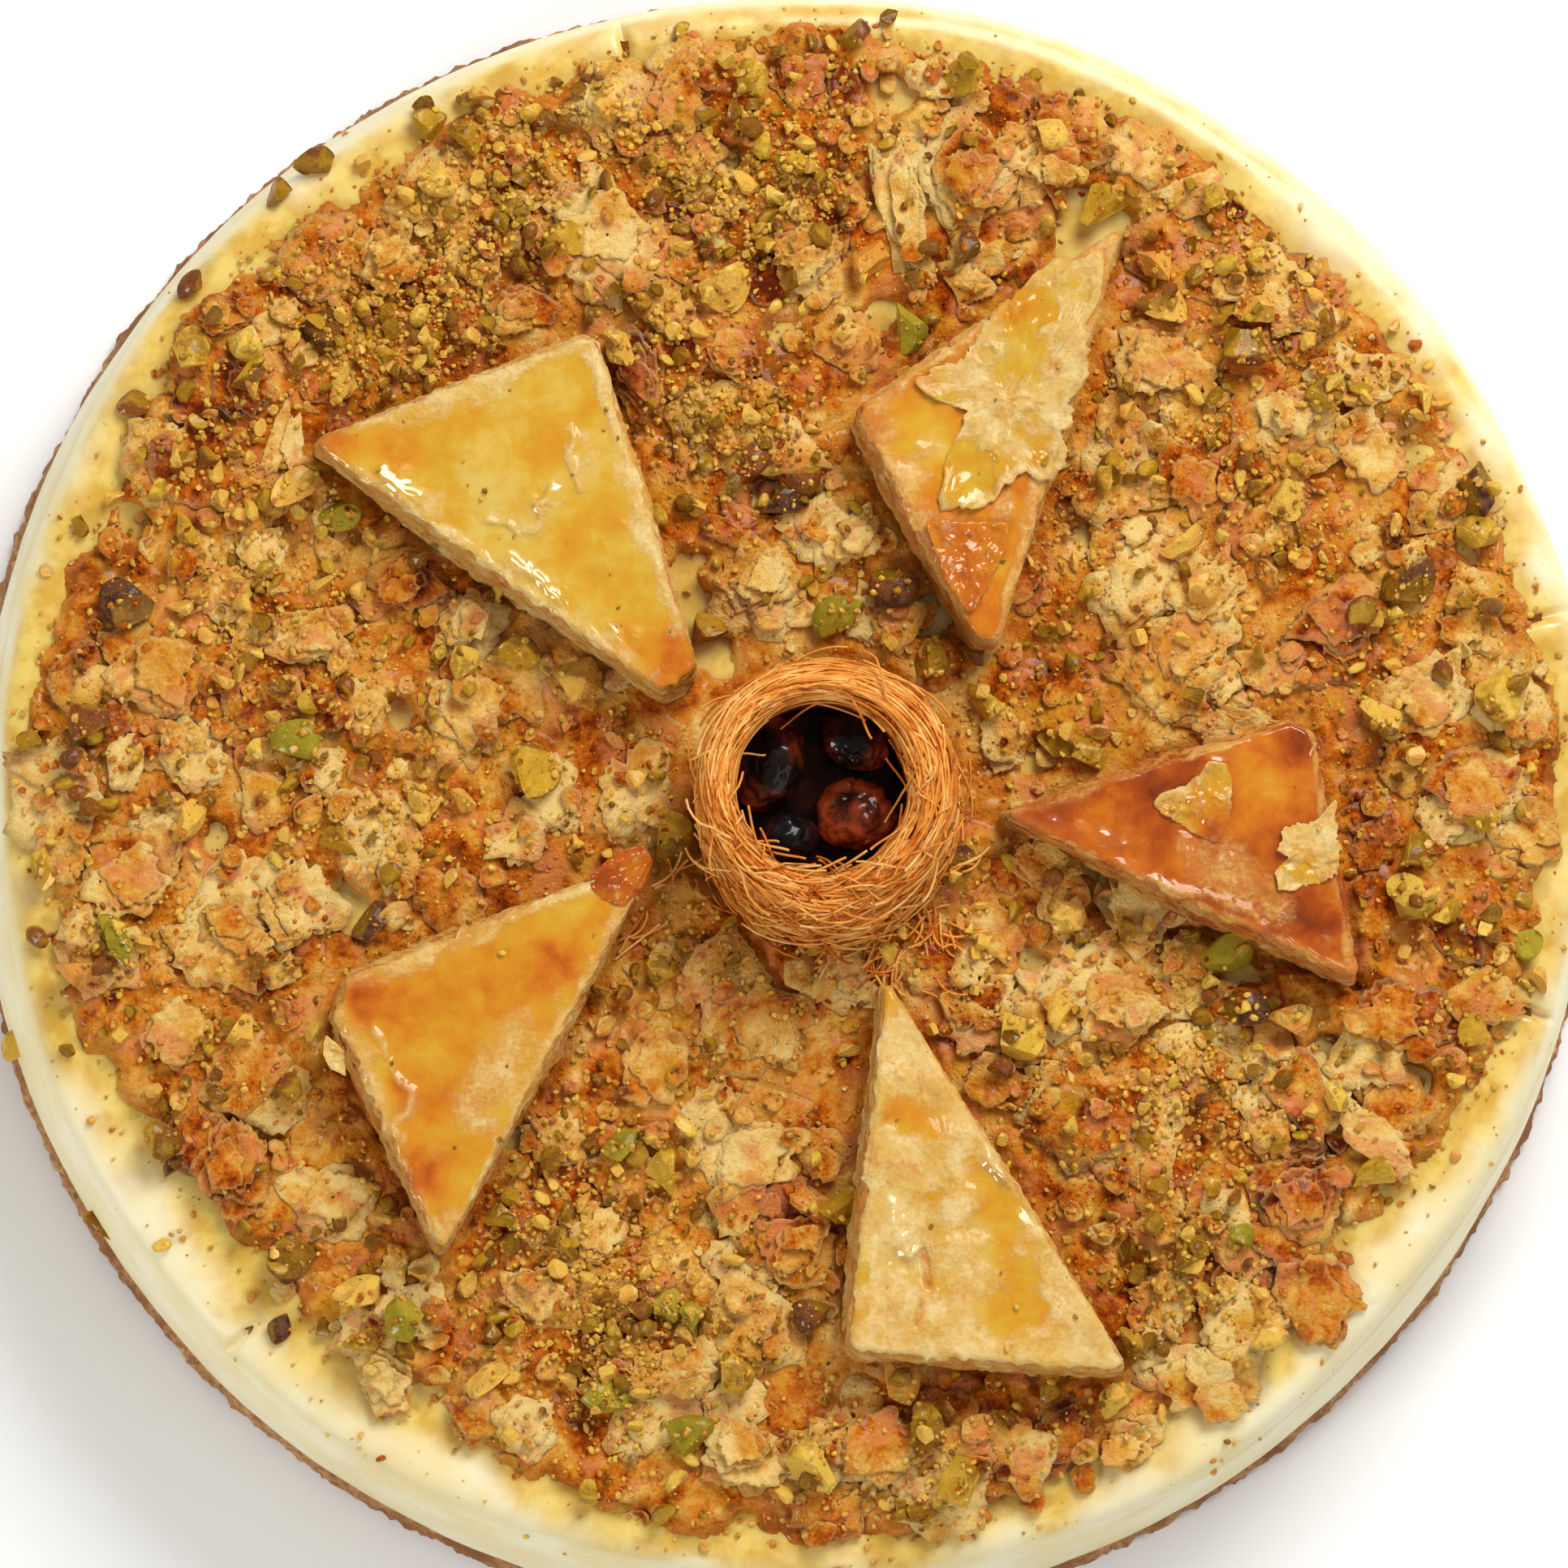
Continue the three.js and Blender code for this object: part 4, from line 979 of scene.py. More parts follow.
def solidOf(meshes):  # one mesh of all, for rays to hit
    points, faces, start = [], [], 0
    for mesh in meshes:
        spots = np.empty(len(mesh.vertices) * 3, np.float32)
        mesh.vertices.foreach_get("co", spots)
        mesh.calc_loop_triangles()
        corners = np.empty(len(mesh.loop_triangles) * 3, np.int32)
        mesh.loop_triangles.foreach_get("vertices", corners)
        points.append(spots.reshape(-1, 3) / mm)
        faces.append(corners.reshape(-1, 3) + start)
        start += len(mesh.vertices)
    return makeMesh("heap", np.concatenate(points), np.concatenate(faces))


scatter = Recipe("scatterOnHeap", {
    "Heap": "Object", "Kinds": "Collection", "Density": "Float", "Smallest": "Float", "Largest": "Float",
    "Lean": "Float", "Lift": "Float", "Tint": "Float", "Seed": "Int", "Finish": "Material"})
given = scatter.given
weight = scatter.node("GeometryNodeInputNamedAttribute", {"data_type": "FLOAT"}, {0: "weight"})
dropped = scatter.node("GeometryNodeDistributePointsOnFaces", {}, {
    "Mesh": given["Geometry"], "Density": weight * given["Density"], "Seed": given["Seed"]})
below = scatter.node("GeometryNodeObjectInfo", {}, {"Object": given["Heap"]}, "Geometry")
sieveSpot = scatter.node("GeometryNodeInputPosition")
hitSpot = scatter.node("GeometryNodeRaycast", {}, {
    "Target Geometry": below, "Source Position": sieveSpot, "Ray Direction": (0, 0, -1), "Ray Length": 0.2},
    "Hit Position")
lies = Wire(scatter, hitSpot.socket.node.outputs["Hit Normal"])
stored = scatter.store(dropped, "lies", lies, "POINT", "FLOAT_VECTOR")
landed = scatter.node("GeometryNodeSetPosition", {}, {0: stored, "Position": hitSpot})
slope = scatter.node("GeometryNodeInputNamedAttribute", {"data_type": "FLOAT_VECTOR"}, {0: "lies"})
upright = scatter.node("FunctionNodeAlignRotationToVector", {"axis": "Z"}, {"Factor": 0.8, "Vector": slope})
spin = scatter.node("ShaderNodeCombineXYZ", {}, {
    0: scatter.random(-1.0, 1.0, 3) * given["Lean"], 1: scatter.random(-1.0, 1.0, 4) * given["Lean"],
    2: scatter.random(0.0, tau, 5)})
spin = scatter.node("FunctionNodeEulerToRotation", {}, {0: spin})
rotation = scatter.node("FunctionNodeRotateRotation", {"rotation_space": "LOCAL"}, {0: upright, 1: spin})
kinds = scatter.node("GeometryNodeCollectionInfo", {}, {0: given["Kinds"], 1: True, 2: True})
sizeShare = scatter.random(0.0, 1.0, 6)
size = given["Smallest"] + (given["Largest"] - given["Smallest"]) * sizeShare * sizeShare
placed = scatter.node("GeometryNodeInstanceOnPoints", {}, {
    0: landed, "Instance": kinds, "Pick Instance": True, "Rotation": rotation, "Scale": size})
tintOfEach = scatter.random(given["Tint"] - tintSpread, given["Tint"] + tintSpread, 7)
tinted = scatter.store(placed, "tint", tintOfEach, "INSTANCE")
lifted = scatter.node("ShaderNodeCombineXYZ", {}, {2: given["Lift"] * size})
lifted = scatter.node("GeometryNodeSetPosition", {}, {0: tinted, "Offset": lifted})
scatter.finish(scatter.node("GeometryNodeRealizeInstances", {}, {0: lifted}))

sieve = {"pitch": 3.0, "half": 124, "high": 90.0}
sieveLine = np.arange(-sieve["half"], sieve["half"] + 0.1, sieve["pitch"])
sieveX, sieveY = squareGrid(sieveLine)
sieveFaces = gridFaces(len(sieveLine), len(sieveLine), False)[:, ::-1]


def sprinkle(name, heapMesh, shapes, weight, kind, material):  # makes one scattered piece of the topping
    heapObject = newObject(name + "Heap", heapMesh)
    box = bpy.data.collections.new(name + "Kinds")
    bpy.context.scene.collection.children.link(box)
    shapeObjects, smooth = [], kind.get("smooth", False)
    for k, (points, faces, extra) in enumerate(shapes):
        shapeMesh = makeMesh(f"{name}{k}", points, faces, extra, smooth)
        shapeObjects.append(bpy.data.objects.new(f"{name}{k}", shapeMesh))
        box.objects.link(shapeObjects[-1])
    sieveMesh = makeMesh(name + "Sieve", flat(sieveX, sieveY, sieve["high"]), sieveFaces, {"weight": weight})
    area = (sieve["pitch"] * mm) ** 2 * weight[sieveFaces].mean(1).sum()
    smallest, largest = kind["size"]
    mesh = cook(name, sieveMesh, scatter, {
        "Heap": heapObject, "Kinds": box, "Density": kind["count"] / area, "Smallest": smallest,
        "Largest": largest, "Lean": kind["lean"], "Lift": kind["lift"] * mm, "Tint": kind.get("tint", 0.0),
        "Seed": kind["seed"], "Finish": material})
    for made in shapeObjects + [heapObject]:
        bpy.data.objects.remove(made)
    bpy.data.collections.remove(box)
    makePiece(mesh, material, "topping")
    print(name, len(mesh.polygons))
    return mesh


def onTopping(x, y, margin=1.0):  # 1 on the topping away from the triangles and the nest
    edge = toppingEdge(np.arctan2(y, x)) - np.hypot(x, y)
    bare = np.ones(len(x))
    for px, py, size in barePatches:
        bare = np.minimum(bare, 0.12 + 0.88 * smoothStep(0.6, 1.1, np.hypot(x - px, y - py) / size))
    return smoothStep(-3, 3, edge) * smoothStep(margin - 0.8, margin + 0.8, clearance(x, y)) * bare


def offFlakes(x, y):  # low on the large flakes, whose faces stay clear
    nearest = np.full(len(x), 9.0)
    for px, py, length, width in [place[:4] for place in largeFlakes["places"]]:
        nearest = np.minimum(nearest, np.hypot(x - px, y - py) * 2 / (length + width) * 2)
    return 0.15 + 0.85 * smoothStep(0.7, 1.2, nearest)


def onRim(x, y):  # 1 on the soft shoulder outside the topping
    radius = np.hypot(x, y)
    return smoothStep(121, 118, radius) * smoothStep(108, 112, radius)


smallFlakes = {"count": 620, "size": (2.0, 6.0), "lean": 0.2, "lift": 0.04, "seed": 3, "tint": 0.06,
               "smooth": True, "kinds": 9, "sectors": 15, "rings": 2, "rag": 0.1, "thick": 0.13, "bend": 0.08}


def flakeShape(rng, kind):  # a small flake 1 long
    angle, outline = tornOutline(rng, kind["sectors"], kind["rag"])
    px, py, share = sheetGrid(0, 0, angle, outline, kind["rings"], 1.0, rng.uniform(0.55, 0.95), 0)
    height = fractal(flat(px, py, rng.uniform(0, 90)), 0.5, 2)
    height = kind["bend"] * height + kind["bend"] * share ** 2
    points, faces = evenSheet(px, py, height, kind["thick"], kind["rings"], kind["sectors"])
    return points, faces, {"edge": np.tile(share, 2)}


rng = np.random.default_rng(23)
onHeap = solidOf([creamMesh, bedMesh, carpetMesh, flakeMesh])
clear = onTopping(sieveX, sieveY) * offFlakes(sieveX, sieveY)
rim = onRim(sieveX, sieveY)
shapes = [flakeShape(rng, smallFlakes) for k in range(smallFlakes["kinds"])]
smallFlakeMesh = sprinkle("smallFlakes", onHeap, shapes, clear + 0.05 * rim, smallFlakes, flakeMaterial)


# Chopped pistachios: a kernel with some of its sides cut away

nutTones = {"dark": 0.03, "dusty": 0.16, "purple": 0.13, "brown": 0.25, "rust": 0.31, "darkGreen": 0.41,
            "olive": 0.47, "green": 0.53, "lime": 0.64, "yellow": 0.8, "gold": 0.88, "orange": 0.97,
            "tan": 1.0}
nutForm = {"lumps": 0.07, "grain": 0.02, "kept": (0.24, 0.7)}  # kept is how much a cut leaves of a side
chopped = {
    "tall": 0.72, "swell": 1.17, "swellUp": 1.2, "large": 6.8, "tumble": 0.25,
    "places": [  # x, y, length, width, turn, tone
        (6.9, 25, 8.8, 7.6, 20, "green"), (25.9, 81.7, 7.6, 6.9, 40, "purple"),
        (46.7, 88.5, 7.6, 6.6, 10, "darkGreen"), (16.3, 69.6, 7.4, 6.1, 80, "green"),
        (11.5, 80.5, 8, 5.5, 80, "tan"), (-11.2, 76, 7.6, 6.6, 0, "gold"),
        (-56.1, 99.9, 6.4, 5.9, 0, "darkGreen"), (-50.8, 98, 6.4, 5.6, 50, "olive"),
        (-55.7, 93.1, 8.6, 6.1, -50, "gold"), (-49, 105, 5.4, 4.4, 10, "olive"),
        (-29.3, 103.6, 6.7, 4.9, 60, "gold"), (-7.2, 107.2, 6.4, 6.1, 45, "lime"),
        (7.9, 113.4, 7.4, 6.1, 0, "brown"), (25.3, 107.9, 6.4, 5.6, 30, "olive"),
        (-92.3, 64.3, 9.2, 5.5, 80, "lime"), (-100.5, 57.5, 4.7, 4.2, 0, "brown"),
        (-82.7, 61.6, 7.4, 4.4, 10, "olive"), (-68.6, 60, 10.1, 6.4, -15, "yellow"),
        (-83.3, 66.7, 5.6, 5.2, 0, "yellow"), (-71.7, 69.2, 6.4, 5.6, 0, "dark"),
        (-75.3, 44.7, 8.6, 4.9, 35, "gold"), (-69.8, 39.8, 7.4, 3.9, 20, "green"),
        (-101.7, 26.9, 7.6, 6.9, 0, "purple"), (-107.6, 8.5, 8.6, 6.7, 80, "brown"),
        (-115.2, 6, 6.1, 5.4, 0, "brown"), (-76, 6, 7.6, 6.6, 10, "green"), (-41, 1.7, 9.3, 7.9, 0, "olive"),
        (-34.2, 15.8, 8.6, 6.7, 20, "gold"), (-51.4, 17.7, 6.4, 5.6, 0, "lime"),
        (-42.2, 18.9, 6.4, 5.4, 0, "olive"), (-51.4, -2.6, 5.6, 4.7, 0, "gold"),
        (-56.9, -2.6, 5.4, 4.7, 0, "gold"), (-20.1, -8.1, 8.1, 7.6, 0, "olive"),
        (-64.9, -21.3, 8.1, 7.4, 0, "dusty"), (-113.4, -13.6, 7.6, 6.1, 30, "lime"),
        (-109.4, -29, 7.4, 6.1, 0, "tan"), (-103.6, -22.8, 8.6, 3.7, -60, "green"),
        (-102.3, -25.5, 7.4, 3.4, -60, "green"), (-76, -47.4, 6.4, 5.6, 0, "brown"),
        (-96.8, -54.1, 7.4, 6.4, 0, "olive"), (-94, -58, 4.2, 2.9, 40, "dark"),
        (-76.3, -71.9, 7.6, 6.6, 30, "purple"), (-78, -82, 5.6, 4.4, 0, "purple"),
        (-65.6, -77.7, 6.9, 6.6, 30, "yellow"), (-59.4, -81.7, 7.4, 6.1, 70, "green"),
        (-66.6, -84.8, 6.4, 5.6, 0, "darkGreen"), (6.3, -64.5, 9.8, 6.1, 80, "rust"),
        (2.9, -79.9, 7.6, 6.9, 0, "dusty"), (-26.6, -54.1, 7.4, 6.1, 60, "green"),
        (-20.1, -59.6, 7.4, 6.1, 0, "lime"), (-21.3, -28.3, 6.9, 6.1, 0, "olive"),
        (-28.7, -92.8, 12.3, 5.2, -25, "green"), (-17.1, -98.9, 8.6, 6.1, 10, "green"),
        (-20.1, -79.3, 5.6, 4.9, 0, "green"), (-15.8, -81.1, 5.6, 4.7, 0, "green"),
        (2, -103.1, 7.4, 6.7, 0, "yellow"), (19.3, -96.7, 7.6, 6.9, 20, "olive"),
        (23.8, -107.2, 10.8, 5.6, 80, "olive"), (37.9, -92.8, 4.7, 3.9, 0, "darkGreen"),
        (48, -94, 6.7, 4.9, 70, "lime"), (14.8, -90.9, 7.4, 6.6, 80, "orange"),
        (64.8, -25.3, 7.4, 6.6, 10, "green"), (66.6, -34.2, 8.1, 7.4, 10, "purple"),
        (75, -35.7, 7.6, 6.6, 0, "tan"), (33, -38.2, 8.1, 7.4, 0, "lime"), (40.6, -20, 6.9, 5.4, 80, "gold"),
        (40, -34.5, 6.6, 4.4, 80, "gold"), (59, -70.1, 8.6, 6.7, 0, "brown"),
        (66.3, -68.2, 5.6, 4.9, 70, "green"), (81.1, -47.4, 6.9, 4.9, 80, "yellow"),
        (91.9, -16.8, 9.3, 6.1, -20, "lime"), (92.8, -10.6, 7.4, 6.1, 50, "darkGreen"),
        (112, -23.7, 6.1, 5.4, 0, "green"), (102.6, -37.5, 5.2, 4.4, 0, "darkGreen"),
        (107, 14.4, 8.6, 7.4, 80, "lime"), (103.2, 37.9, 7.4, 6.1, 0, "lime"),
        (103.8, 45.3, 8.6, 6.6, 70, "dusty"), (92.1, 29.9, 10.8, 7.4, 0, "purple"),
        (86.6, 25.6, 6.1, 5.4, 0, "brown"), (74.4, 44.7, 8.6, 7.4, 80, "gold"),
        (67, 68, 10.1, 7.1, -30, "brown"), (55.3, 80.2, 9.8, 5.5, -60, "orange"),
        (70.1, 72.9, 6.9, 6.1, 80, "gold"), (56, 73.5, 8.6, 4.9, 0, "gold"), (59, 37.3, 8.6, 5.5, 10, "gold"),
        (60.6, 29.3, 7.4, 5.4, 0, "gold"), (40.6, 7.2, 9.8, 5.5, -5, "rust"),
        (44.9, 4.2, 10.3, 3.9, -10, "lime"), (29, 11.5, 9.8, 3.9, -50, "lime"),
        (36.9, 23.2, 5.6, 5.2, 0, "rust"), (20.4, 19.1, 6.1, 5.2, 0, "brown"),
        (26.5, 20.1, 5.6, 5.2, 0, "brown"), (14.8, 30.2, 7.6, 6.6, 0, "purple"),
        (48.6, 48.3, 5.2, 4.7, 0, "darkGreen"), (-7.2, 50.2, 7.4, 6.1, 80, "brown"),
        (-2.3, 42.2, 6.9, 6.1, 0, "dark"), (0.7, 47.1, 6.1, 5.4, 0, "brown"),
        (-12.8, 23.8, 7.4, 5.4, 80, "rust"), (24, -14.2, 8.6, 7.9, 0, "dusty"),
        (-5.4, -21.6, 7.4, 5.4, 0, "gold"), (103.8, -5.6, 6.9, 5.6, 20, "olive"),
        (37.5, -73.1, 7.4, 5.9, 30, "gold"), (50.4, -84.8, 6.4, 5.4, -20, "olive"),
        (87.9, -59.6, 7.1, 5.6, 40, "lime"), (70.7, -82.9, 6.6, 5.2, 10, "gold"),
        (-10.3, -89.1, 6.4, 5.4, -30, "lime"), (-47.1, -90.3, 6.9, 5.4, 20, "gold"),
        (-83.9, -37.5, 7.1, 5.4, -20, "gold"), (-44.7, -65.8, 6.6, 5.6, 60, "olive"),
        (-36.1, 81.5, 7.4, 5.6, 30, "olive"), (-27.5, 65.5, 6.4, 4.9, -40, "gold"),
        (-42.2, 87.6, 6.1, 4.7, 20, "lime"), (-0.5, 93.7, 6.6, 5.4, 10, "olive"),
        (37.5, 99.9, 6.9, 5.2, -30, "gold"), (80.5, 59.4, 6.6, 5.4, 50, "olive"),
        (87.9, 10.3, 7.4, 5.9, 0, "gold"), (-54.5, 42.2, 5.4, 4.2, 20, "gold"),
        (-92.5, 38.5, 6.6, 4.9, -10, "olive"), (-92.5, -5.6, 7.4, 5.4, 40, "gold"),
        (-69.2, -9.3, 6.1, 4.9, -30, "olive"), (-78.6, 89.8, 6.6, 5, 20, "rust"),
        (-73.2, 94.4, 6.8, 4.6, 35, "brown"), (-91.5, 75.4, 5.6, 4.2, 45, "dusty"),
    ],
    "onWall": [  # x, y, z, length, width, turn, tone
        (-105.4, -66.2, 15, 9.5, 3.6, -48, "darkGreen"), (-118.2, -38.6, 15, 6.2, 5.2, 70, "yellow"),
    ],
}


def nutShape(rng, ball, length, width, tall, cuts):  # points, faces and 1 where a side is cut away
    points, faces = ball
    points = points * np.array([length, width, tall]) / 2
    offset = rng.uniform(0, 60, 3)
    points = points * (1 + nutForm["lumps"] * fractal(points + offset, length * 0.45, 2)[:, None])
    cut = np.zeros(len(points))
    for k in range(cuts):
        aim = rng.normal(0, 1, 3)
        aim /= np.linalg.norm(aim)
        over = points @ aim - (points @ aim).max() * rng.uniform(*nutForm["kept"])
        over = over + nutForm["grain"] * length * fractal(points + offset, length * 0.3, 2, k)
        points = points - np.maximum(over, 0)[:, None] * aim
        cut = np.where(over > 0, 1, cut)
    return points, faces, cut


rng = np.random.default_rng(37)
balls = [unitBall(level) for level in range(4)]
parts = []
for x, y, length, width, turn, tone in chopped["places"]:
    tall = chopped["tall"] * min(length, width) * rng.uniform(0.8, 1.1)
    ball = balls[3] if length > chopped["large"] else balls[2]
    size = (length * chopped["swell"], width * chopped["swell"], tall * chopped["swellUp"])
    points, faces, cut = nutShape(rng, ball, *size, rng.integers(4, 8))
    turn = math.radians(turn) if turn else rng.uniform(0, tau)
    points = turned(points, *rng.normal(0, chopped["tumble"], 2), turn)
    foot = points[points[:, 2] < np.percentile(points[:, 2], 30)]
    level = np.percentile(heapAt(x + foot[:, 0], y + foot[:, 1]) - foot[:, 2], 55)
    points = points + np.array([x, y, level])
    pile(points)
    tint = rng.uniform(-tintSpread, tintSpread)
    parts.append((points, faces, {"tone": nutTones[tone], "cut": cut, "tint": tint}))

for x, y, z, length, width, turn, tone in chopped["onWall"]:
    points, faces, cut = nutShape(rng, balls[2], length, width, width, 4)
    points = turned(points, 0.0, 0.0, math.radians(turn)) + np.array([x, y, z])
    parts.append((points, faces, {"tone": nutTones[tone], "cut": cut, "tint": 0.0}))

finish = Finish("choppedPistachio")
nutTone, cutFace, tint = finish.attribute("tone"), finish.attribute("cut"), finish.attribute("tint")
blotch = finish.noise(2.4, 4, 0.6, 0.5)
fleck = finish.noise(0.38, 3, 0.7, shift=7.0)
spread = nutTone + 0.6 * (blotch - 0.5) + 0.25 * tint
nutStops = [(0.0, 44, 20, 14), (0.14, 92, 52, 38), (0.28, 144, 74, 26), (0.4, 134, 84, 14),
            (0.52, 170, 126, 22), (0.64, 212, 162, 44), (0.78, 242, 200, 80), (0.9, 238, 184, 80),
            (1.0, 230, 150, 58)]
skinTone = finish.palette(spread, nutStops)
kernelTone = finish.palette(0.36 + 0.6 * spread, nutStops)
nutColour = finish.blend(cutFace * 0.85, skinTone, kernelTone)
skin = finish.noise(2.3, 4, 0.6, 0.8, 27.0).ramp(0.47, 0.6) * (0.5 - 0.42 * cutFace)
nutColour = finish.blend(skin, nutColour, srgb(116, 70, 40))
nutColour = finish.blend(fleck.ramp(0.54, 0.72) * 0.4, nutColour, srgb(226, 180, 74))
dull = finish.noise(1.2, 4, 0.65, shift=17.0).ramp(0.52, 0.75) * 0.28
nutColour = finish.blend(dull, nutColour, srgb(136, 82, 24))
greenish = nutTone.ramp(0.49, 0.52) * (1 - nutTone.ramp(0.54, 0.57)) * (0.35 + 0.5 * blotch)
nutColour = finish.blend(greenish, nutColour, srgb(146, 144, 32))
nutMaterial = finish.close(
    Base_Color=nutColour, Roughness=0.55 - 0.2 * blotch, Normal=finish.bump(fleck, 0.8, 0.45),
    Coat_Weight=0.5 * blotch, Coat_Roughness=0.12, **crumbSheen)
nutMesh = makeJoined("choppedPistachios", parts, nutMaterial, "topping", smooth=False)


# Smaller bits, then ground pistachio, dropped on all of these

onHeap = solidOf([creamMesh, bedMesh, carpetMesh, flakeMesh, smallFlakeMesh, nutMesh])
thick = drifts(sieveX, sieveY)
rng = np.random.default_rng(41)
bitTones = (0.16, 0.3, 0.42, 0.66, 0.76, 0.82, 0.86, 0.9)
groundTones = (0.3, 0.62, 0.72, 0.78, 0.82, 0.86, 0.9)


def bitShape(rng, level, cuts, low=0.6, tones=bitTones):  # a bit of nut 1 long
    size = (1.0, rng.uniform(low, 0.95), rng.uniform(low, 0.8))
    points, faces, cut = nutShape(rng, balls[level], *size, cuts)
    return points, faces, {"cut": cut, "tone": rng.choice(tones)}


def crumbShape(rng):  # a crumb of pastry 1 long
    size = (1.0, rng.uniform(0.6, 1), rng.uniform(0.4, 0.7))
    return *nutShape(rng, balls[0], *size, 1)[:2], {"edge": 0.5}


nutBits = {"count": 1400, "size": (1.3, 4.8), "lean": 0.7, "lift": 0.3, "seed": 5}
weight = clear * (0.35 + thick) + 0.05 * rim
shapes = [bitShape(rng, 1, rng.integers(3, 6)) for k in range(14)]
sprinkle("nutBits", onHeap, shapes, weight, nutBits, nutMaterial)

groundNut = {"count": 9000, "size": (0.45, 1.7), "lean": 1.5, "lift": 0.2, "seed": 7}
weight = clear * (0.1 + thick ** 1.3) + 0.022 * rim
shapes = [bitShape(rng, 0, 1, 0.7, groundTones) for k in range(12)]
sprinkle("groundPistachio", onHeap, shapes, weight, groundNut, nutMaterial)

pastryCrumbs = {"count": 4200, "size": (0.5, 1.9), "lean": 0.9, "lift": 0.1, "seed": 9, "tint": 0.05}
weight = clear * (1.1 - 0.5 * np.minimum(thick, 1)) + 0.05 * rim
shapes = [crumbShape(rng) for k in range(8)]
sprinkle("pastryCrumbs", onHeap, shapes, weight, pastryCrumbs, flakeMaterial)

specks = {"count": 70, "size": (0.4, 1.1), "lean": 1.5, "lift": 0.1, "seed": 13, "smooth": True}
finish = Finish("darkSpeck")
speckTone = finish.blend(finish.noise(1.0, 2), srgb(34, 18, 10), srgb(84, 44, 20))
speckMaterial = finish.close(Base_Color=speckTone, Roughness=0.5)
shapes = [bitShape(rng, 0, 1) for k in range(4)]
sprinkle("darkSpecks", onHeap, shapes, onTopping(sieveX, sieveY, -8.0), specks, speckMaterial)


# The baklava triangles: thin layers under a glazed top

layered = {"sectors": 230, "layers": 19, "layerRings": 3, "top": 12.0, "rings": 38, "thick": 0.36,
           "flare": 1.3, "lid": 1.5, "puff": 0.3, "sunk": 0.45, "rounded": 0.6, "ridge": 0.4, "bead": 0.6,
           "crack": 1.0}
leafSheet = {"sectors": 170, "rings": 18, "thick": 0.3}


def pastryOutline(pastry, sectors):  # points at even steps round a triangle with blunt corners
    corners = [np.array(c, float) for c in pastry["corners"]]
    outline = []
    for k in range(3):
        before, after = corners[k - 1] - corners[k], corners[(k + 1) % 3] - corners[k]
        before, after = before / np.linalg.norm(before), after / np.linalg.norm(after)
        cut = pastry["blunt"][k]
        outline += [corners[k] + before * cut * 0.75, corners[k] + (before + after) * cut * 0.37,
                    corners[k] + after * cut * 0.75]
    closed = np.array(outline + outline[:1])
    far = farAlong(closed)
    want = np.arange(sectors) / sectors * far[-1]
    ring = eased(np.stack([np.interp(want, far, column) for column in closed.T], 1), 2)
    if np.cross(ring, np.roll(ring, -1, 0)).sum() < 0:
        ring = ring[::-1]
    return ring


def ringGrid(ring, rings):  # middle point, then rings out to the outline
    middle = ring.mean(0)
    share = np.linspace(0, 1, rings + 1)[1:] ** 0.9
    grid = middle + share[:, None, None] * (ring - middle)[None]
    return np.concatenate([[middle], grid.reshape(-1, 2)]), np.concatenate([[0], np.repeat(share, len(ring))])


def straying(x, y, seed):  # places moved about a little, so that patches have uneven outlines
    spot = flat(x, y, seed * 13.0)
    return x + 1.7 * fractal(spot, 5, 3, seed + 60), y + 1.7 * fractal(spot, 5, 3, seed + 70)


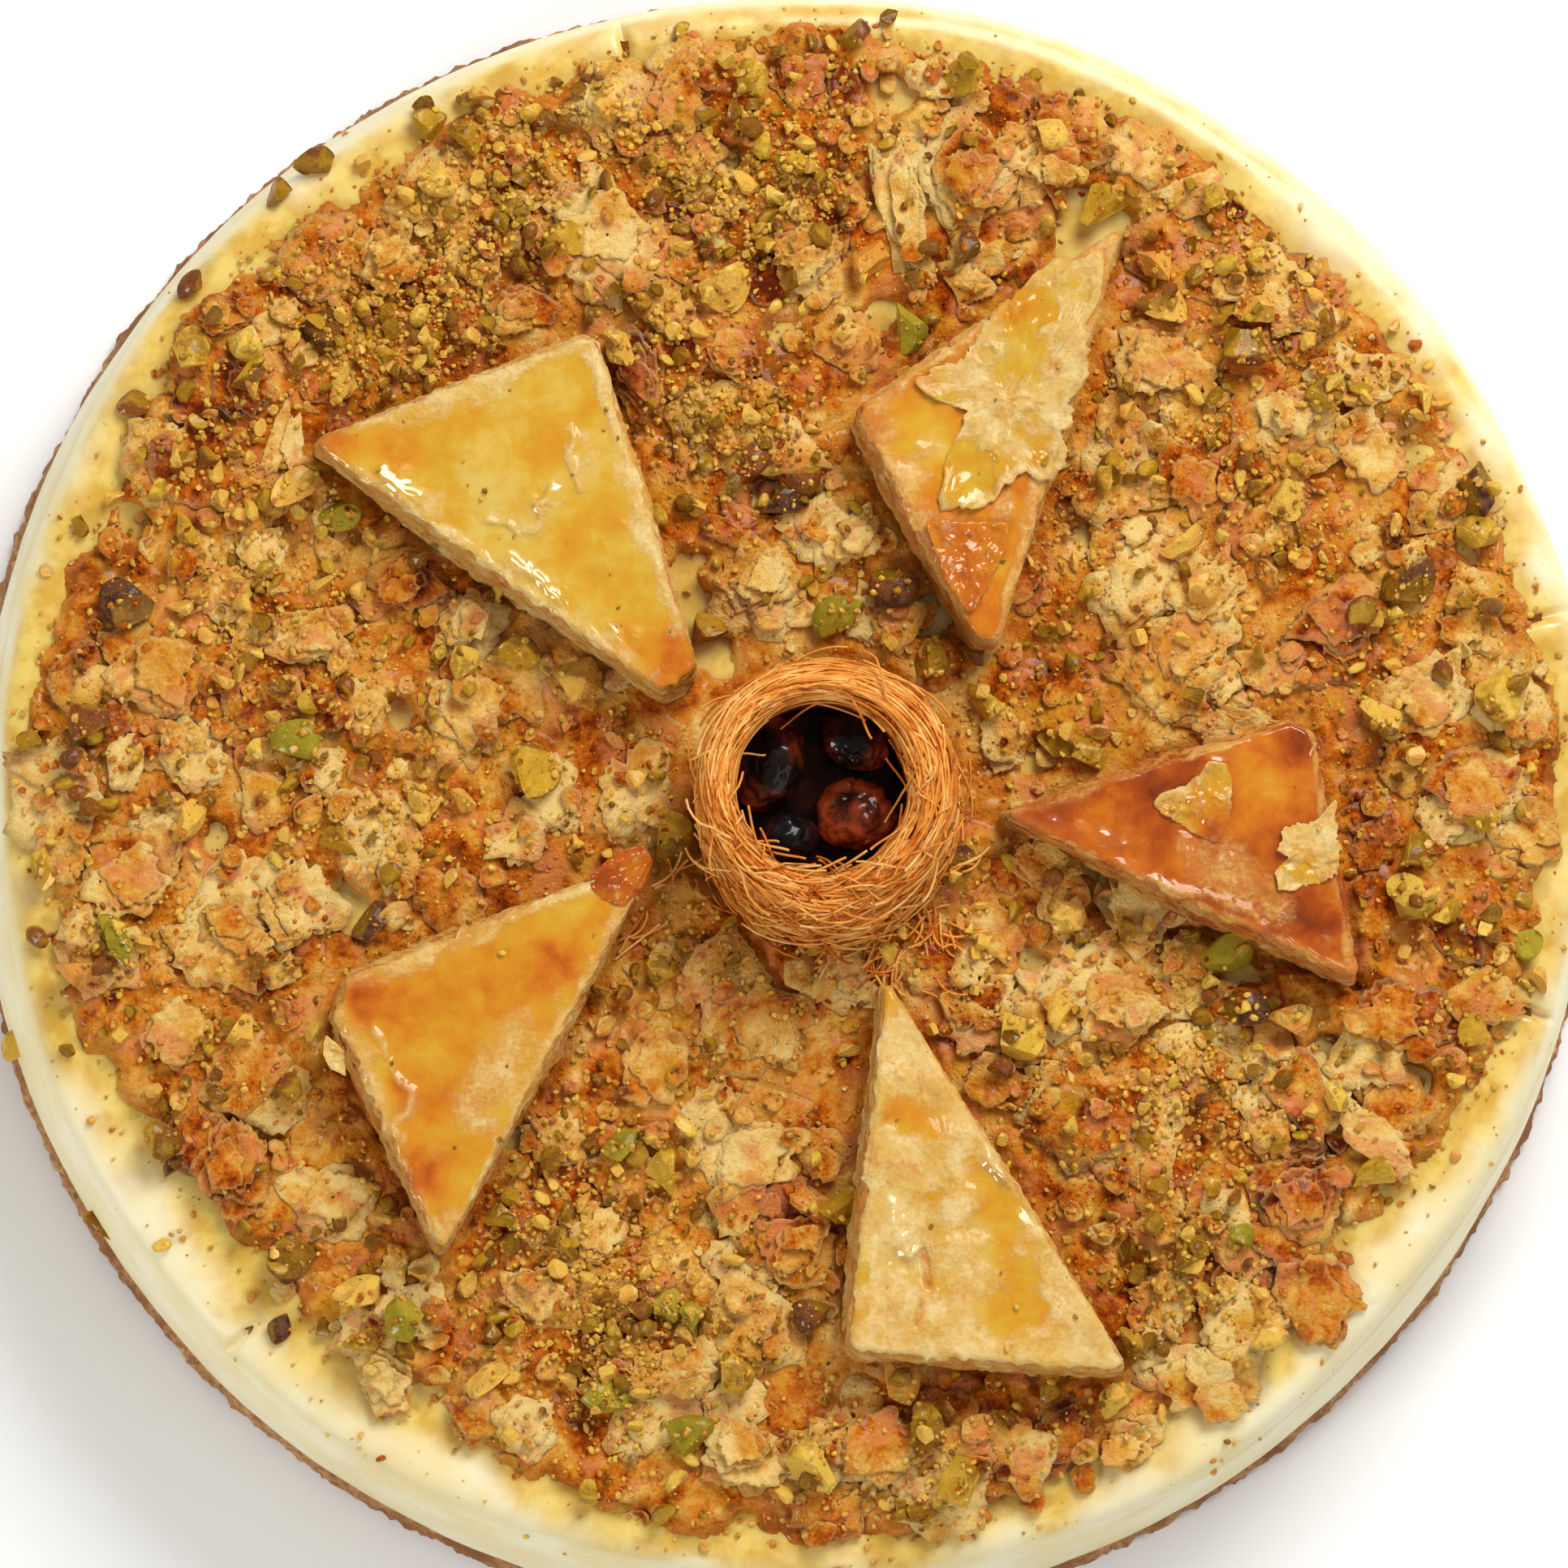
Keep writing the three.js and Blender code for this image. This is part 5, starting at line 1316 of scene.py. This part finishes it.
def pastryTop(x, y, pastry, seed):  # height, pale share, syrup depth and gloss of a triangle's top
    spot = flat(x, y, seed * 10.0)
    inside = insidePastry(x, y, pastry)
    wx, wy = straying(x, y, seed)
    border = pastry["edgeDry"] * np.clip(0.75 + 0.7 * fractal(spot, 14, 2, seed + 11), 0.1, 1.6)
    ragged = inside + 0.35 * pastry["edgeDry"] * fractal(spot, 4, 3, seed)
    pale = smoothStep(border * 1.5, 0, ragged) * 0.75
    pale = np.maximum(pale, clamp(spotSum(wx, wy, pastry["dry"])))
    if "pale" in pastry:  # the mostly dry one: its pools lie where they are drawn
        pooled = clamp(spotSum(wx, wy, pastry["pools"]) * 4.8 + 0.3 * fractal(spot, 4, 3, seed + 6) + 0.1)
        pale = clamp(pale + pastry["pale"]) * (1 - pooled)
    red = spotSum(wx, wy, pastry["reds"])
    pale = clamp(pale * (1 - np.clip(red * 1.6, 0, 0.9)))
    depth = pastry["depth"] + spotSum(wx, wy, pastry["pools"]) + red + 0.1 * fractal(spot, 7, 3, seed + 5)
    dryShare = smoothStep(0.3, 0.7, pale + 0.15 * fractal(spot, 2, 2, seed + 3))
    crumble = 0.1 + 0.2 * fractal(spot, 2.6, 3, seed + 2) + 0.14 * fractal(spot, 0.9, 2, seed + 1)
    gloss = clamp(1.2 * spotSum(x, y, pastry["glints"]))
    puff = pastry.get("puff", layered["puff"])
    height = layered["top"] - layered["sunk"] + puff * fractal(spot, 9, 2, seed + 9)
    height = height - layered["rounded"] * smoothStep(1.0, 0.0, inside) ** 2
    height = height + 0.4 * gloss * fractal(spot, 2.2, 2, seed + 40)
    height = height + dryShare * np.maximum(crumble, -0.12) + 0.06 * fractal(spot, 2.4, 2, seed + 4)
    for line in pastry.get("ridges", []):
        gap = lineGap(wx, wy, line) + 0.2 * fractal(spot, 1.5, 2, seed + 7)
        height = height + layered["ridge"] * bell(gap, 0.9)
        pale = np.maximum(pale, 0.6 * bell(gap, 1.2))
    for line in pastry.get("beads", []):
        gap = lineGap(wx, wy, line)
        height = height + layered["bead"] * bell(gap, 0.9)
        gloss = np.maximum(gloss, bell(gap, 1.6))
    for line in pastry.get("cracks", []):
        gap = lineGap(x, y, line) + 0.2 * fractal(spot, 1.2, 2, seed + 8)
        height = height - layered["crack"] * bell(gap, 0.45)
        depth = depth + 0.25 * bell(gap, 0.6)
    return height, pale, clamp(depth), gloss


finish = Finish("glazedPastry")
depth, pale, gloss = [finish.attribute(key) for key in ("depth", "pale", "gloss")]
mottle = finish.noise(3.0, 4, 0.6, 0.4)
fine = finish.noise(0.8, 4, 0.7, shift=3.0)
dry = (pale + 0.8 * (mottle - 0.5) + 0.5 * (fine - 0.5)).ramp(0.22, 0.74)
broad = finish.noise(7.0, 3, 0.5, 0.5, 21.0)
ripple = finish.noise(1.6, 2, 0.4, shift=12.0)
syruped = depth + 0.5 * (broad - 0.5) + 0.4 * (mottle - 0.5) + 0.15 * (fine - 0.5)
soaked = finish.palette(syruped, [
    (0.0, 218, 182, 88), (0.2, 212, 160, 42), (0.4, 210, 136, 28), (0.58, 200, 106, 20),
    (0.76, 168, 72, 12), (1.0, 112, 38, 6)])
bleached = 0.66 + 0.7 * (broad - 0.5) + 0.9 * (mottle - 0.5) + 0.7 * (fine - 0.5) - 0.65 * depth
dryTone = finish.palette(bleached, [
    (0.05, 202, 118, 52), (0.28, 216, 150, 78), (0.48, 228, 182, 108), (0.72, 238, 208, 144)])
gilt = finish.noise(5.0, 3, 0.5, 0.5, 33.0).ramp(0.44, 0.66) * 0.5
dryTone = finish.blend(gilt, dryTone, srgb(222, 172, 70))
pastryColour = finish.blend(dry * 0.9, soaked, dryTone)
pastryMaterial = finish.close(
    Base_Color=pastryColour, Roughness=0.24 + 0.35 * dry,
    Normal=finish.bump(fine * dry + gloss * ripple, 0.55, 0.7),
    Coat_Weight=0.7 - 0.5 * dry + gloss, Coat_Roughness=0.035, **pastrySheen,
    **softInside(0.15, 0.003, 0.0018, 0.0008))


def pastryLayer(pastry, ring, outward, number, k, rng):  # one thin layer of the cut side
    seed, high = number * 50 + k, k / (layered["layers"] - 1)
    around = flat(*ring.T, seed * 7.0)
    ragged = 0.5 * fractal(around, 6, 2) + 0.45 * fractal(around, 1.4, 2)
    flare = layered["flare"] * (1 - high) ** 1.3 * (0.6 + 0.4 * fractal(flat(*ring.T, number), 12, 2))
    out = np.clip(flare + 0.2 + ragged, -1.2, 2.4 if k < layered["layers"] - 2 else 0.7)
    grid, share = ringGrid(ring + outward * out[:, None], layered["layerRings"])
    spot = flat(*grid.T, seed * 3.0)
    wave = (0.22 * fractal(spot, 8, 2) + 0.2 * fractal(spot, 2.2, 2)) * share ** 2 * min(1, k / 2)
    sag = 0.5 * (share > 0.99) * (k > 2) * rng.random() * (0.5 + 0.5 * fractal(spot, 5, 1))
    step = (layered["top"] - 0.9) / layered["layers"]
    height = np.maximum(cake["rest"] + k * step + (wave - sag), cake["rest"])
    points, faces = evenSheet(*grid.T, height, layered["thick"], layered["layerRings"], layered["sectors"])
    depth = clamp(pastry["depth"] * 0.4 + rng.uniform(0.3, 0.6) + 0.14 * fractal(points, 5, 2, seed))
    pale = clamp(rng.uniform(0.45, 0.9) + 0.35 * fractal(points, 3, 2, seed + 1))
    return points, faces, {"depth": depth, "pale": pale, "gloss": 0.0}


def pastryLid(pastry, ring, outward, number):  # the glazed top
    nibble = 0.45 * fractal(flat(*ring.T), 2.4, 2, number) + 0.45 * fractal(flat(*ring.T), 0.9, 2, number + 9)
    grid = ringGrid(ring + outward * nibble[:, None], layered["rings"])[0]
    height, pale, depth, gloss = pastryTop(*grid.T, pastry, number)
    over = flat(*grid.T, cake["rest"] + height)
    under = cake["rest"] + layered["top"] - layered["lid"]
    points, faces = cappedShell(over, layered["rings"], layered["sectors"], under)
    below = np.zeros(layered["sectors"] + 1)
    depth, pale = [np.concatenate([values, below + 0.5]) for values in (depth, pale)]
    return points, faces, {"depth": depth, "pale": pale, "gloss": np.concatenate([gloss, below])}


def pastryLeaf(pastry, leaf, number, seed):  # a torn leaf on the top
    rings, sectors = leafSheet["rings"], leafSheet["sectors"]
    middle = np.mean(leaf["points"], 0)
    angle, outline = polygonOutline(leaf["points"], middle, sectors, leaf["rag"], seed)
    px, py, share = sheetGrid(*middle, angle, outline, rings, 2.0, 2.0, 0)
    below, basePale, baseDepth, gloss = pastryTop(px, py, pastry, number)
    below = np.maximum(below, layered["top"] - 1.2)
    aim, near, far = leaf.get("melt", (0, 98, 99))
    aim = math.radians(aim)
    melt = smoothStep(near, far, (px - middle[0]) * math.cos(aim) + (py - middle[1]) * math.sin(aim))
    spot = flat(px, py, seed * 5.0)
    toEdge = (1 - share) * np.concatenate([[1], np.tile(outline, rings)])
    torn = fractal(spot, 5.0, 3, seed + 2)
    lift = leaf["lift"] * (0.4 + 0.6 * bell(toEdge, 1.6))
    lift = lift + 0.42 * fractal(spot, 3.4, 3) + 0.3 * fractal(spot, 1.2, 2)
    lift = lift + leaf["dry"] * 0.5 * smoothStep(0.0, 0.12, torn)
    lift = np.maximum(lift * (1 - 0.85 * melt), 0.08)
    over = flat(px, py, cake["rest"] + below + lift)
    over[:, 2] -= 1.2 * smoothStep(0.3, -1.5, insidePastry(px, py, pastry))
    under = over - np.array([0, 0, leafSheet["thick"]])
    points, faces = thinShell(over, under, rings, sectors)
    pool = clamp(spotSum(*straying(px, py, seed), leaf.get("pools", [])) * 1.3
                 + 0.16 * fractal(spot, 2.4, 3, 6))
    pale = leaf["dry"] - 0.2 + 0.4 * fractal(spot, 2.5, 3) + 0.2 * smoothStep(-0.1, 0.15, torn) - pool
    pale = clamp(pale + 0.25 * leaf["dry"] * bell(toEdge, 1.4))
    depth = clamp(leaf["depth"] + 0.08 * pool + 0.1 * fractal(spot, 5, 2, 3))
    pale, depth = pale + (basePale - pale) * melt, depth + (baseDepth - depth) * melt
    return points, faces, {"depth": np.tile(depth, 2), "pale": np.tile(pale, 2), "gloss": np.tile(gloss, 2)}


pastryMeshes = []
for number, pastry in enumerate(pastries, 1):
    rng = np.random.default_rng(100 + number)
    ring = pastryOutline(pastry, layered["sectors"])
    outward = ring - ring.mean(0)
    outward = outward / np.linalg.norm(outward, axis=1)[:, None]
    parts = [pastryLayer(pastry, ring, outward, number, k, rng) for k in range(layered["layers"])]
    parts.append(pastryLid(pastry, ring, outward, number))
    parts += [pastryLeaf(pastry, leaf, number, number * 10 + k)
              for k, leaf in enumerate(pastry.get("leaves", []))]
    pastryMeshes.append(makeJoined(f"baklavaTriangle{number}", parts, pastryMaterial, "pastry",
                                   f"baklava_triangle_{number}"))

onPastry = {"count": 34, "size": (0.5, 1.6), "lean": 0.8, "lift": 0.2, "seed": 17, "tint": 0.3}
weight = np.zeros(len(sieveX))
for pastry in pastries:
    weight = np.maximum(weight, smoothStep(0.5, 2.5, insidePastry(sieveX, sieveY, pastry)))
rng = np.random.default_rng(59)
shapes = [bitShape(rng, 1, 3) for k in range(5)]
sprinkle("strayBits", solidOf(pastryMeshes), shapes, weight, onPastry, nutMaterial)


# The nest: a wound cup of fine shreds, made as strands round a soft core

shreds = {"count": 900, "steps": 22, "radius": 0.2, "loose": 120, "frays": 190, "fraySteps": 7, "sides": 4,
          "girth": (0.7, 1.35), "fineGirth": (0.6, 1.2), "front": (-1.75, 0.55), "frayFront": (-1.4, 0.8)}

fallen = [  # shreds lying by the nest: x, y, direction, reach of the tuft, length, number
    (5.5, -25.2, 215, 1.6, 5.0, 12), (12.6, -26.6, 60, 2.2, 5.5, 18), (19.4, -22.6, 75, 2.4, 5.0, 14),
    (24.0, -23.6, 140, 1.5, 3.6, 8), (-12.8, -17.5, 130, 1.5, 8.0, 4), (22.0, -32.2, 165, 0.8, 6.0, 2),
    (-24.5, -23.0, 40, 2.0, 8.0, 5), (-19.0, -14.0, 60, 2.0, 6.0, 5), (14.0, -30.5, 95, 1.2, 5.0, 6),
    (25.0, -12.0, 20, 1.5, 5.0, 5),
]

# The cup's section, radius and height from the outer foot over the rim to the inside
section = np.array([(21.0, 0.4), (21.5, 3), (21.0, 7), (20.6, 11), (20.4, 15), (20.2, 18.6), (19.2, 20.8),
                    (17.4, 21.7), (15.9, 21.6), (14.6, 20.6), (13.8, 18.2), (13.4, 14), (13.0, 9),
                    (12.7, 4.6)])
sectionFar = farAlong(section)


def onCup(angle, along, out):  # a point on the cup at an angle and a distance along its section
    along = np.clip(along, 0, sectionFar[-1])
    r, z = [np.interp(along, sectionFar, column) for column in section.T]
    rNext, zNext = [np.interp(along + 0.5, sectionFar, column) for column in section.T]
    size = np.maximum(np.hypot(rNext - r, zNext - z), 1e-6)
    nr, nz = (zNext - z) / size, (r - rNext) / size
    foot = 0.95 + 0.088 * np.cos(angle) - 0.075 * np.sin(angle) - 0.034 * np.cos(2 * angle)
    rim = 0.94 + 0.035 * np.cos(angle) + 0.012 * np.sin(3 * angle + 0.5)
    high = clamp(z / nest["height"])
    skirt = np.where(along > 24, 0.98, foot + (rim - foot) * smoothStep(0, 0.85, high))
    r, z = r * skirt + nr * out, cake["rest"] + z + nz * out
    return np.stack([nest["x"] + r * np.cos(angle), nest["y"] + r * np.sin(angle), z], -1)


def newCurve(name):  # an empty curve that takes the strands
    made = bpy.data.curves.new(name, "CURVE")
    made.dimensions = "3D"
    return made


def addStrand(target, line, girth):  # girth is a share of the strand's radius
    spline = target.splines.new("POLY")
    spline.points.add(len(line) - 1)
    spots = np.column_stack([line * mm, np.ones(len(line))])
    spline.points.foreach_set("co", spots.astype(np.float32).ravel())
    spline.points.foreach_set("radius", np.full(len(line), girth, np.float32))


def addToCup(target, angle, along, out, girth):  # a strand along the cup, above the bed
    line = onCup(angle, along, out)
    line[:, 2] = np.maximum(line[:, 2], cake["rest"] + 0.3)
    addStrand(target, line, girth)


rng = np.random.default_rng(71)
curve = newCurve("shreds")
for k in range(shreds["count"]):
    share = np.linspace(0, 1, shreds["steps"])
    start, sweep = rng.uniform(0, tau), rng.uniform(0.5, 2.4) * rng.choice([-1, 1])
    angle = start + sweep * share
    begin = rng.choice([rng.uniform(0, sectionFar[-1] * 0.72), rng.uniform(12, 30), rng.uniform(18, 26)])
    climb = rng.normal(0, 2.6)
    along = begin + climb * share + 0.8 * np.sin(share * rng.uniform(2, 6) + rng.uniform(0, 6))
    out = rng.uniform(-0.35, 0.35) + 0.25 * np.sin(share * rng.uniform(2, 8) + rng.uniform(0, 6))
    if k < shreds["loose"]:  # its tail comes away from the wall, mostly at the front
        tail = smoothStep(0.6, 1.0, share)
        if rng.random() < 0.6:
            angle = angle - angle[-1] + rng.normal(*shreds["front"])
        out = out + tail * rng.uniform(0.8, 3.4)
        along = along + tail * rng.normal(0, 4)
    addToCup(curve, angle, along, out, rng.uniform(*shreds["girth"]))
for k in range(shreds["frays"]):  # short ends that stand out of the wall, most of them at the front
    share = np.linspace(0, 1, shreds["fraySteps"])
    angle = rng.normal(*shreds["frayFront"]) if rng.random() < 0.75 else rng.uniform(0, tau)
    along, length = rng.uniform(2, 24), rng.uniform(2.5, 7.0)
    heading = rng.normal(0, 0.9) + (math.pi if rng.random() < 0.5 else 0)
    sweep = length * math.cos(heading) / 20 * share + rng.normal(0, 0.05) * share ** 2
    out = 0.1 + share ** 1.4 * rng.uniform(0.2, 1.7)
    along = along + length * math.sin(heading) * share
    addToCup(curve, angle + sweep, along, out, rng.uniform(*shreds["fineGirth"]))

strand = Recipe("windStrands", {"Radius": "Float", "Sides": "Int", "Seed": "Int", "Finish": "Material"})
given = strand.given
whose = strand.node("GeometryNodeCurveOfPoint")
shadeOfStrand = strand.node("FunctionNodeRandomValue", {"data_type": "FLOAT"},
                            {2: 0.0, 3: 1.0, 7: whose, 8: given["Seed"]}, 1)
tinted = strand.store(given["Geometry"], "tint", shadeOfStrand, "POINT")
circle = strand.node("GeometryNodeCurvePrimitiveCircle", {}, {
    "Resolution": given["Sides"], "Radius": given["Radius"]})
tube = strand.node("GeometryNodeCurveToMesh", {}, {
    "Curve": tinted, "Profile Curve": circle, "Fill Caps": True})
smoothed = strand.node("GeometryNodeSetShadeSmooth", {}, {0: tube, "Shade Smooth": True})
strand.finish(strand.node("GeometryNodeRealizeInstances", {}, {0: smoothed}))

finish = Finish("shreddedPastry")
tint = finish.attribute("tint")
toast = finish.noise(5, 3, 0.5)
streak = finish.noise(0.9, 2, 0.5, shift=2.0)
shade = 0.6 * tint + 0.9 * (toast - 0.5) + 0.5 * (streak - 0.5) + 0.14
shredColour = finish.palette(shade, [
    (0.0, 250, 208, 130), (0.25, 240, 172, 84), (0.5, 226, 142, 56), (0.75, 196, 102, 30),
    (1.0, 146, 62, 12)])
shredMaterial = finish.close(
    Base_Color=shredColour, Roughness=0.5, Normal=finish.bump(streak, 0.3, 0.2), **pastrySheen)
strandSettings = {"Radius": shreds["radius"] * mm, "Sides": shreds["sides"], "Finish": shredMaterial}
nestMesh = cook("kataifiNest", curve, strand, {**strandSettings, "Seed": 5})
makePiece(nestMesh, shredMaterial, "nest", "kataifi_nest")
print("nest strands", len(nestMesh.polygons))

curve = newCurve("fallenShreds")
for x, y, direction, reach, length, number in fallen:
    for k in range(number):
        share = np.linspace(-0.5, 0.5, shreds["fraySteps"])[:, None]
        aim = math.radians(direction) + rng.normal(0, 0.5)
        long = length * rng.uniform(0.5, 1.2)
        ahead = np.array([math.cos(aim), math.sin(aim)])
        aside = np.array([-math.sin(aim), math.cos(aim)])
        spot = np.array([x, y]) + rng.normal(0, reach, 2) * 0.6
        line = spot + ahead * share * long + aside * (share ** 2) * rng.normal(0, long * 0.5)
        height = np.maximum(heapAt(*line.T).mean(), heapAt(*line.T)) + 0.2 + rng.uniform(0, 0.7)
        addStrand(curve, np.column_stack([line, height]), rng.uniform(*shreds["fineGirth"]))
fallenMesh = cook("fallenShreds", curve, strand, {**strandSettings, "Seed": 8})
makePiece(fallenMesh, shredMaterial, "nest")
print("fallen shreds", len(fallenMesh.polygons))

# The core under the strands, with grooves that run round it
core = {"sectors": 220, "rows": 46, "inside": -0.75, "grooves": 0.28}
rows, sectors = core["rows"], core["sectors"]
angle = np.tile(evenAngles(sectors), rows)
along = np.repeat(np.linspace(0, sectionFar[-1], rows), sectors)
wound = polar(6, angle, along * 2.2)
points = onCup(angle, along, core["inside"] + core["grooves"] * fractal(wound, 1.6, 3, 81))
points[:, 2] = np.maximum(points[:, 2], cake["rest"])
faces = gridFaces(rows, sectors, True)[:, ::-1]
low, high = np.arange(sectors), (rows - 1) * sectors + np.arange(sectors)
middles = [[nest["x"], nest["y"], cake["rest"] + up] for up in (0, nest["floor"])]
caps = np.concatenate([
    np.stack([np.full(sectors, len(points)), np.roll(low, -1), low], 1),
    np.stack([np.full(sectors, len(points) + 1), high, np.roll(high, -1)], 1)])
points = np.concatenate([points, middles])
finish = Finish("nestCore")
toast = finish.noise(2.0, 4, 0.6)
coreTone = finish.palette(toast, [(0.3, 110, 46, 4), (0.55, 160, 78, 10), (0.75, 192, 108, 24)])
coreMaterial = finish.close(Base_Color=coreTone, Roughness=0.6, Normal=finish.bump(toast, 0.5, 0.4))
coreMesh = makeMesh("nestCore", points, [faces, caps])
makePiece(coreMesh, coreMaterial, "nest")
print("nest core")


# Glazed nuts in dark syrup inside the nest

glazed = {"level": 4, "up": 8.0, "folds": 0.13, "grooves": 0.1, "wrinkles": 0.03, "pieces": [
    # x, y, length, width, tall, turn, lean, blackness, direction of the redder side
    (-4.4, 2.2, 14.0, 10.6, 8.6, 80, 0.1, 0.6, 0.6), (8.6, -5.2, 12.4, 11.6, 8.8, 30, -0.12, 0.26, -2.0),
    (8.0, 5.6, 10.6, 8.0, 6.6, -30, 0.1, 0.56, -0.6), (-1.8, -8.6, 9.0, 7.4, 6.2, -20, -0.1, 0.78, 2.4)]}
rng = np.random.default_rng(83)
ball = unitBall(glazed["level"])
finish = Finish("glazedNut")
darkness = finish.attribute("black")
cloud = finish.noise(3.2, 3, 0.5, 0.6)
fine = finish.noise(0.9, 3, 0.5, shift=4.0)
glaze = finish.palette(darkness + 0.4 * (cloud - 0.5), [
    (0.0, 184, 84, 40), (0.25, 140, 52, 20), (0.5, 82, 30, 14), (0.72, 28, 14, 11),
    (1.0, 14, 10, 12)])
glazedMaterial = finish.close(
    Base_Color=glaze, Roughness=0.3, Normal=finish.bump(fine, 0.35, 0.45), Specular_IOR_Level=0.06,
    Coat_Weight=0.4, Coat_Roughness=0.03, **softInside(0.08, 0.002, 0.0006, 0.0003))
for k, (x, y, length, width, tall, turn, lean, black, redSide) in enumerate(glazed["pieces"], 1):
    points, faces = ball
    spot = points * np.array([length, width, tall]) / 2
    folds = fractal(spot + 40 * k, 4.2, 3, k)
    grooves = np.abs(fractal(spot + 70 * k, 5.0, 3, k + 4))
    wrinkles = np.abs(fractal(spot + 90 * k, 2.2, 2, k + 7))
    creased, wrinkled = smoothStep(0.16, 0.0, grooves), smoothStep(0.2, 0, wrinkles)
    swell = 1 + glazed["folds"] * folds - glazed["grooves"] * creased - glazed["wrinkles"] * wrinkled
    points = spot * swell[:, None]
    points = turned(points, lean, lean * 0.6, math.radians(turn))
    side = np.hypot(points[:, 0], points[:, 1]) / max(length, width) * 2
    facing = (points[:, 0] * math.cos(redSide) + points[:, 1] * math.sin(redSide)) / length * 2
    tone = black + 0.26 * smoothStep(0.75, 0.55, side - 0.35 * facing) - 0.34 * smoothStep(0.25, 0.6, facing)
    tone = clamp(tone - 0.2 * folds + 0.15 * wrinkled)
    points = points + np.array([x, y, cake["rest"] + glazed["up"]])
    mesh = makeMesh(f"glazedNut{k}", points, faces, {"black": tone})
    makePiece(mesh, glazedMaterial, "glazed_nut", f"glazed_nut_{k}")

syrup = {"sectors": 90, "rings": 14, "radius": 12.9, "top": 5.9, "under": 4.2, "swell": 0.3}
ring = polar(syrup["radius"], evenAngles(syrup["sectors"]), np.zeros(syrup["sectors"]))[:, :2]
grid = ringGrid(np.array([nest["x"], nest["y"]]) + ring, syrup["rings"])[0]
height = cake["rest"] + syrup["top"] + syrup["swell"] * fractal(flat(*grid.T), 5, 2, 91)
over, under = flat(*grid.T, height), flat(*grid.T, cake["rest"] + syrup["under"])
points, faces = thinShell(over, under, syrup["rings"], syrup["sectors"])
finish = Finish("darkSyrup")
syrupTone = finish.palette(finish.noise(4, 3), [(0.35, 16, 8, 6), (0.6, 44, 16, 8), (0.8, 84, 30, 12)])
syrupMaterial = finish.close(
    Base_Color=syrupTone, Roughness=0.2, Normal=finish.bump(finish.noise(1.6, 2), 0.15, 0.4),
    Specular_IOR_Level=0.06)
makePiece(makeMesh("nestSyrup", points, faces), syrupMaterial, "glazed_nut")
print("glazed nuts and syrup")
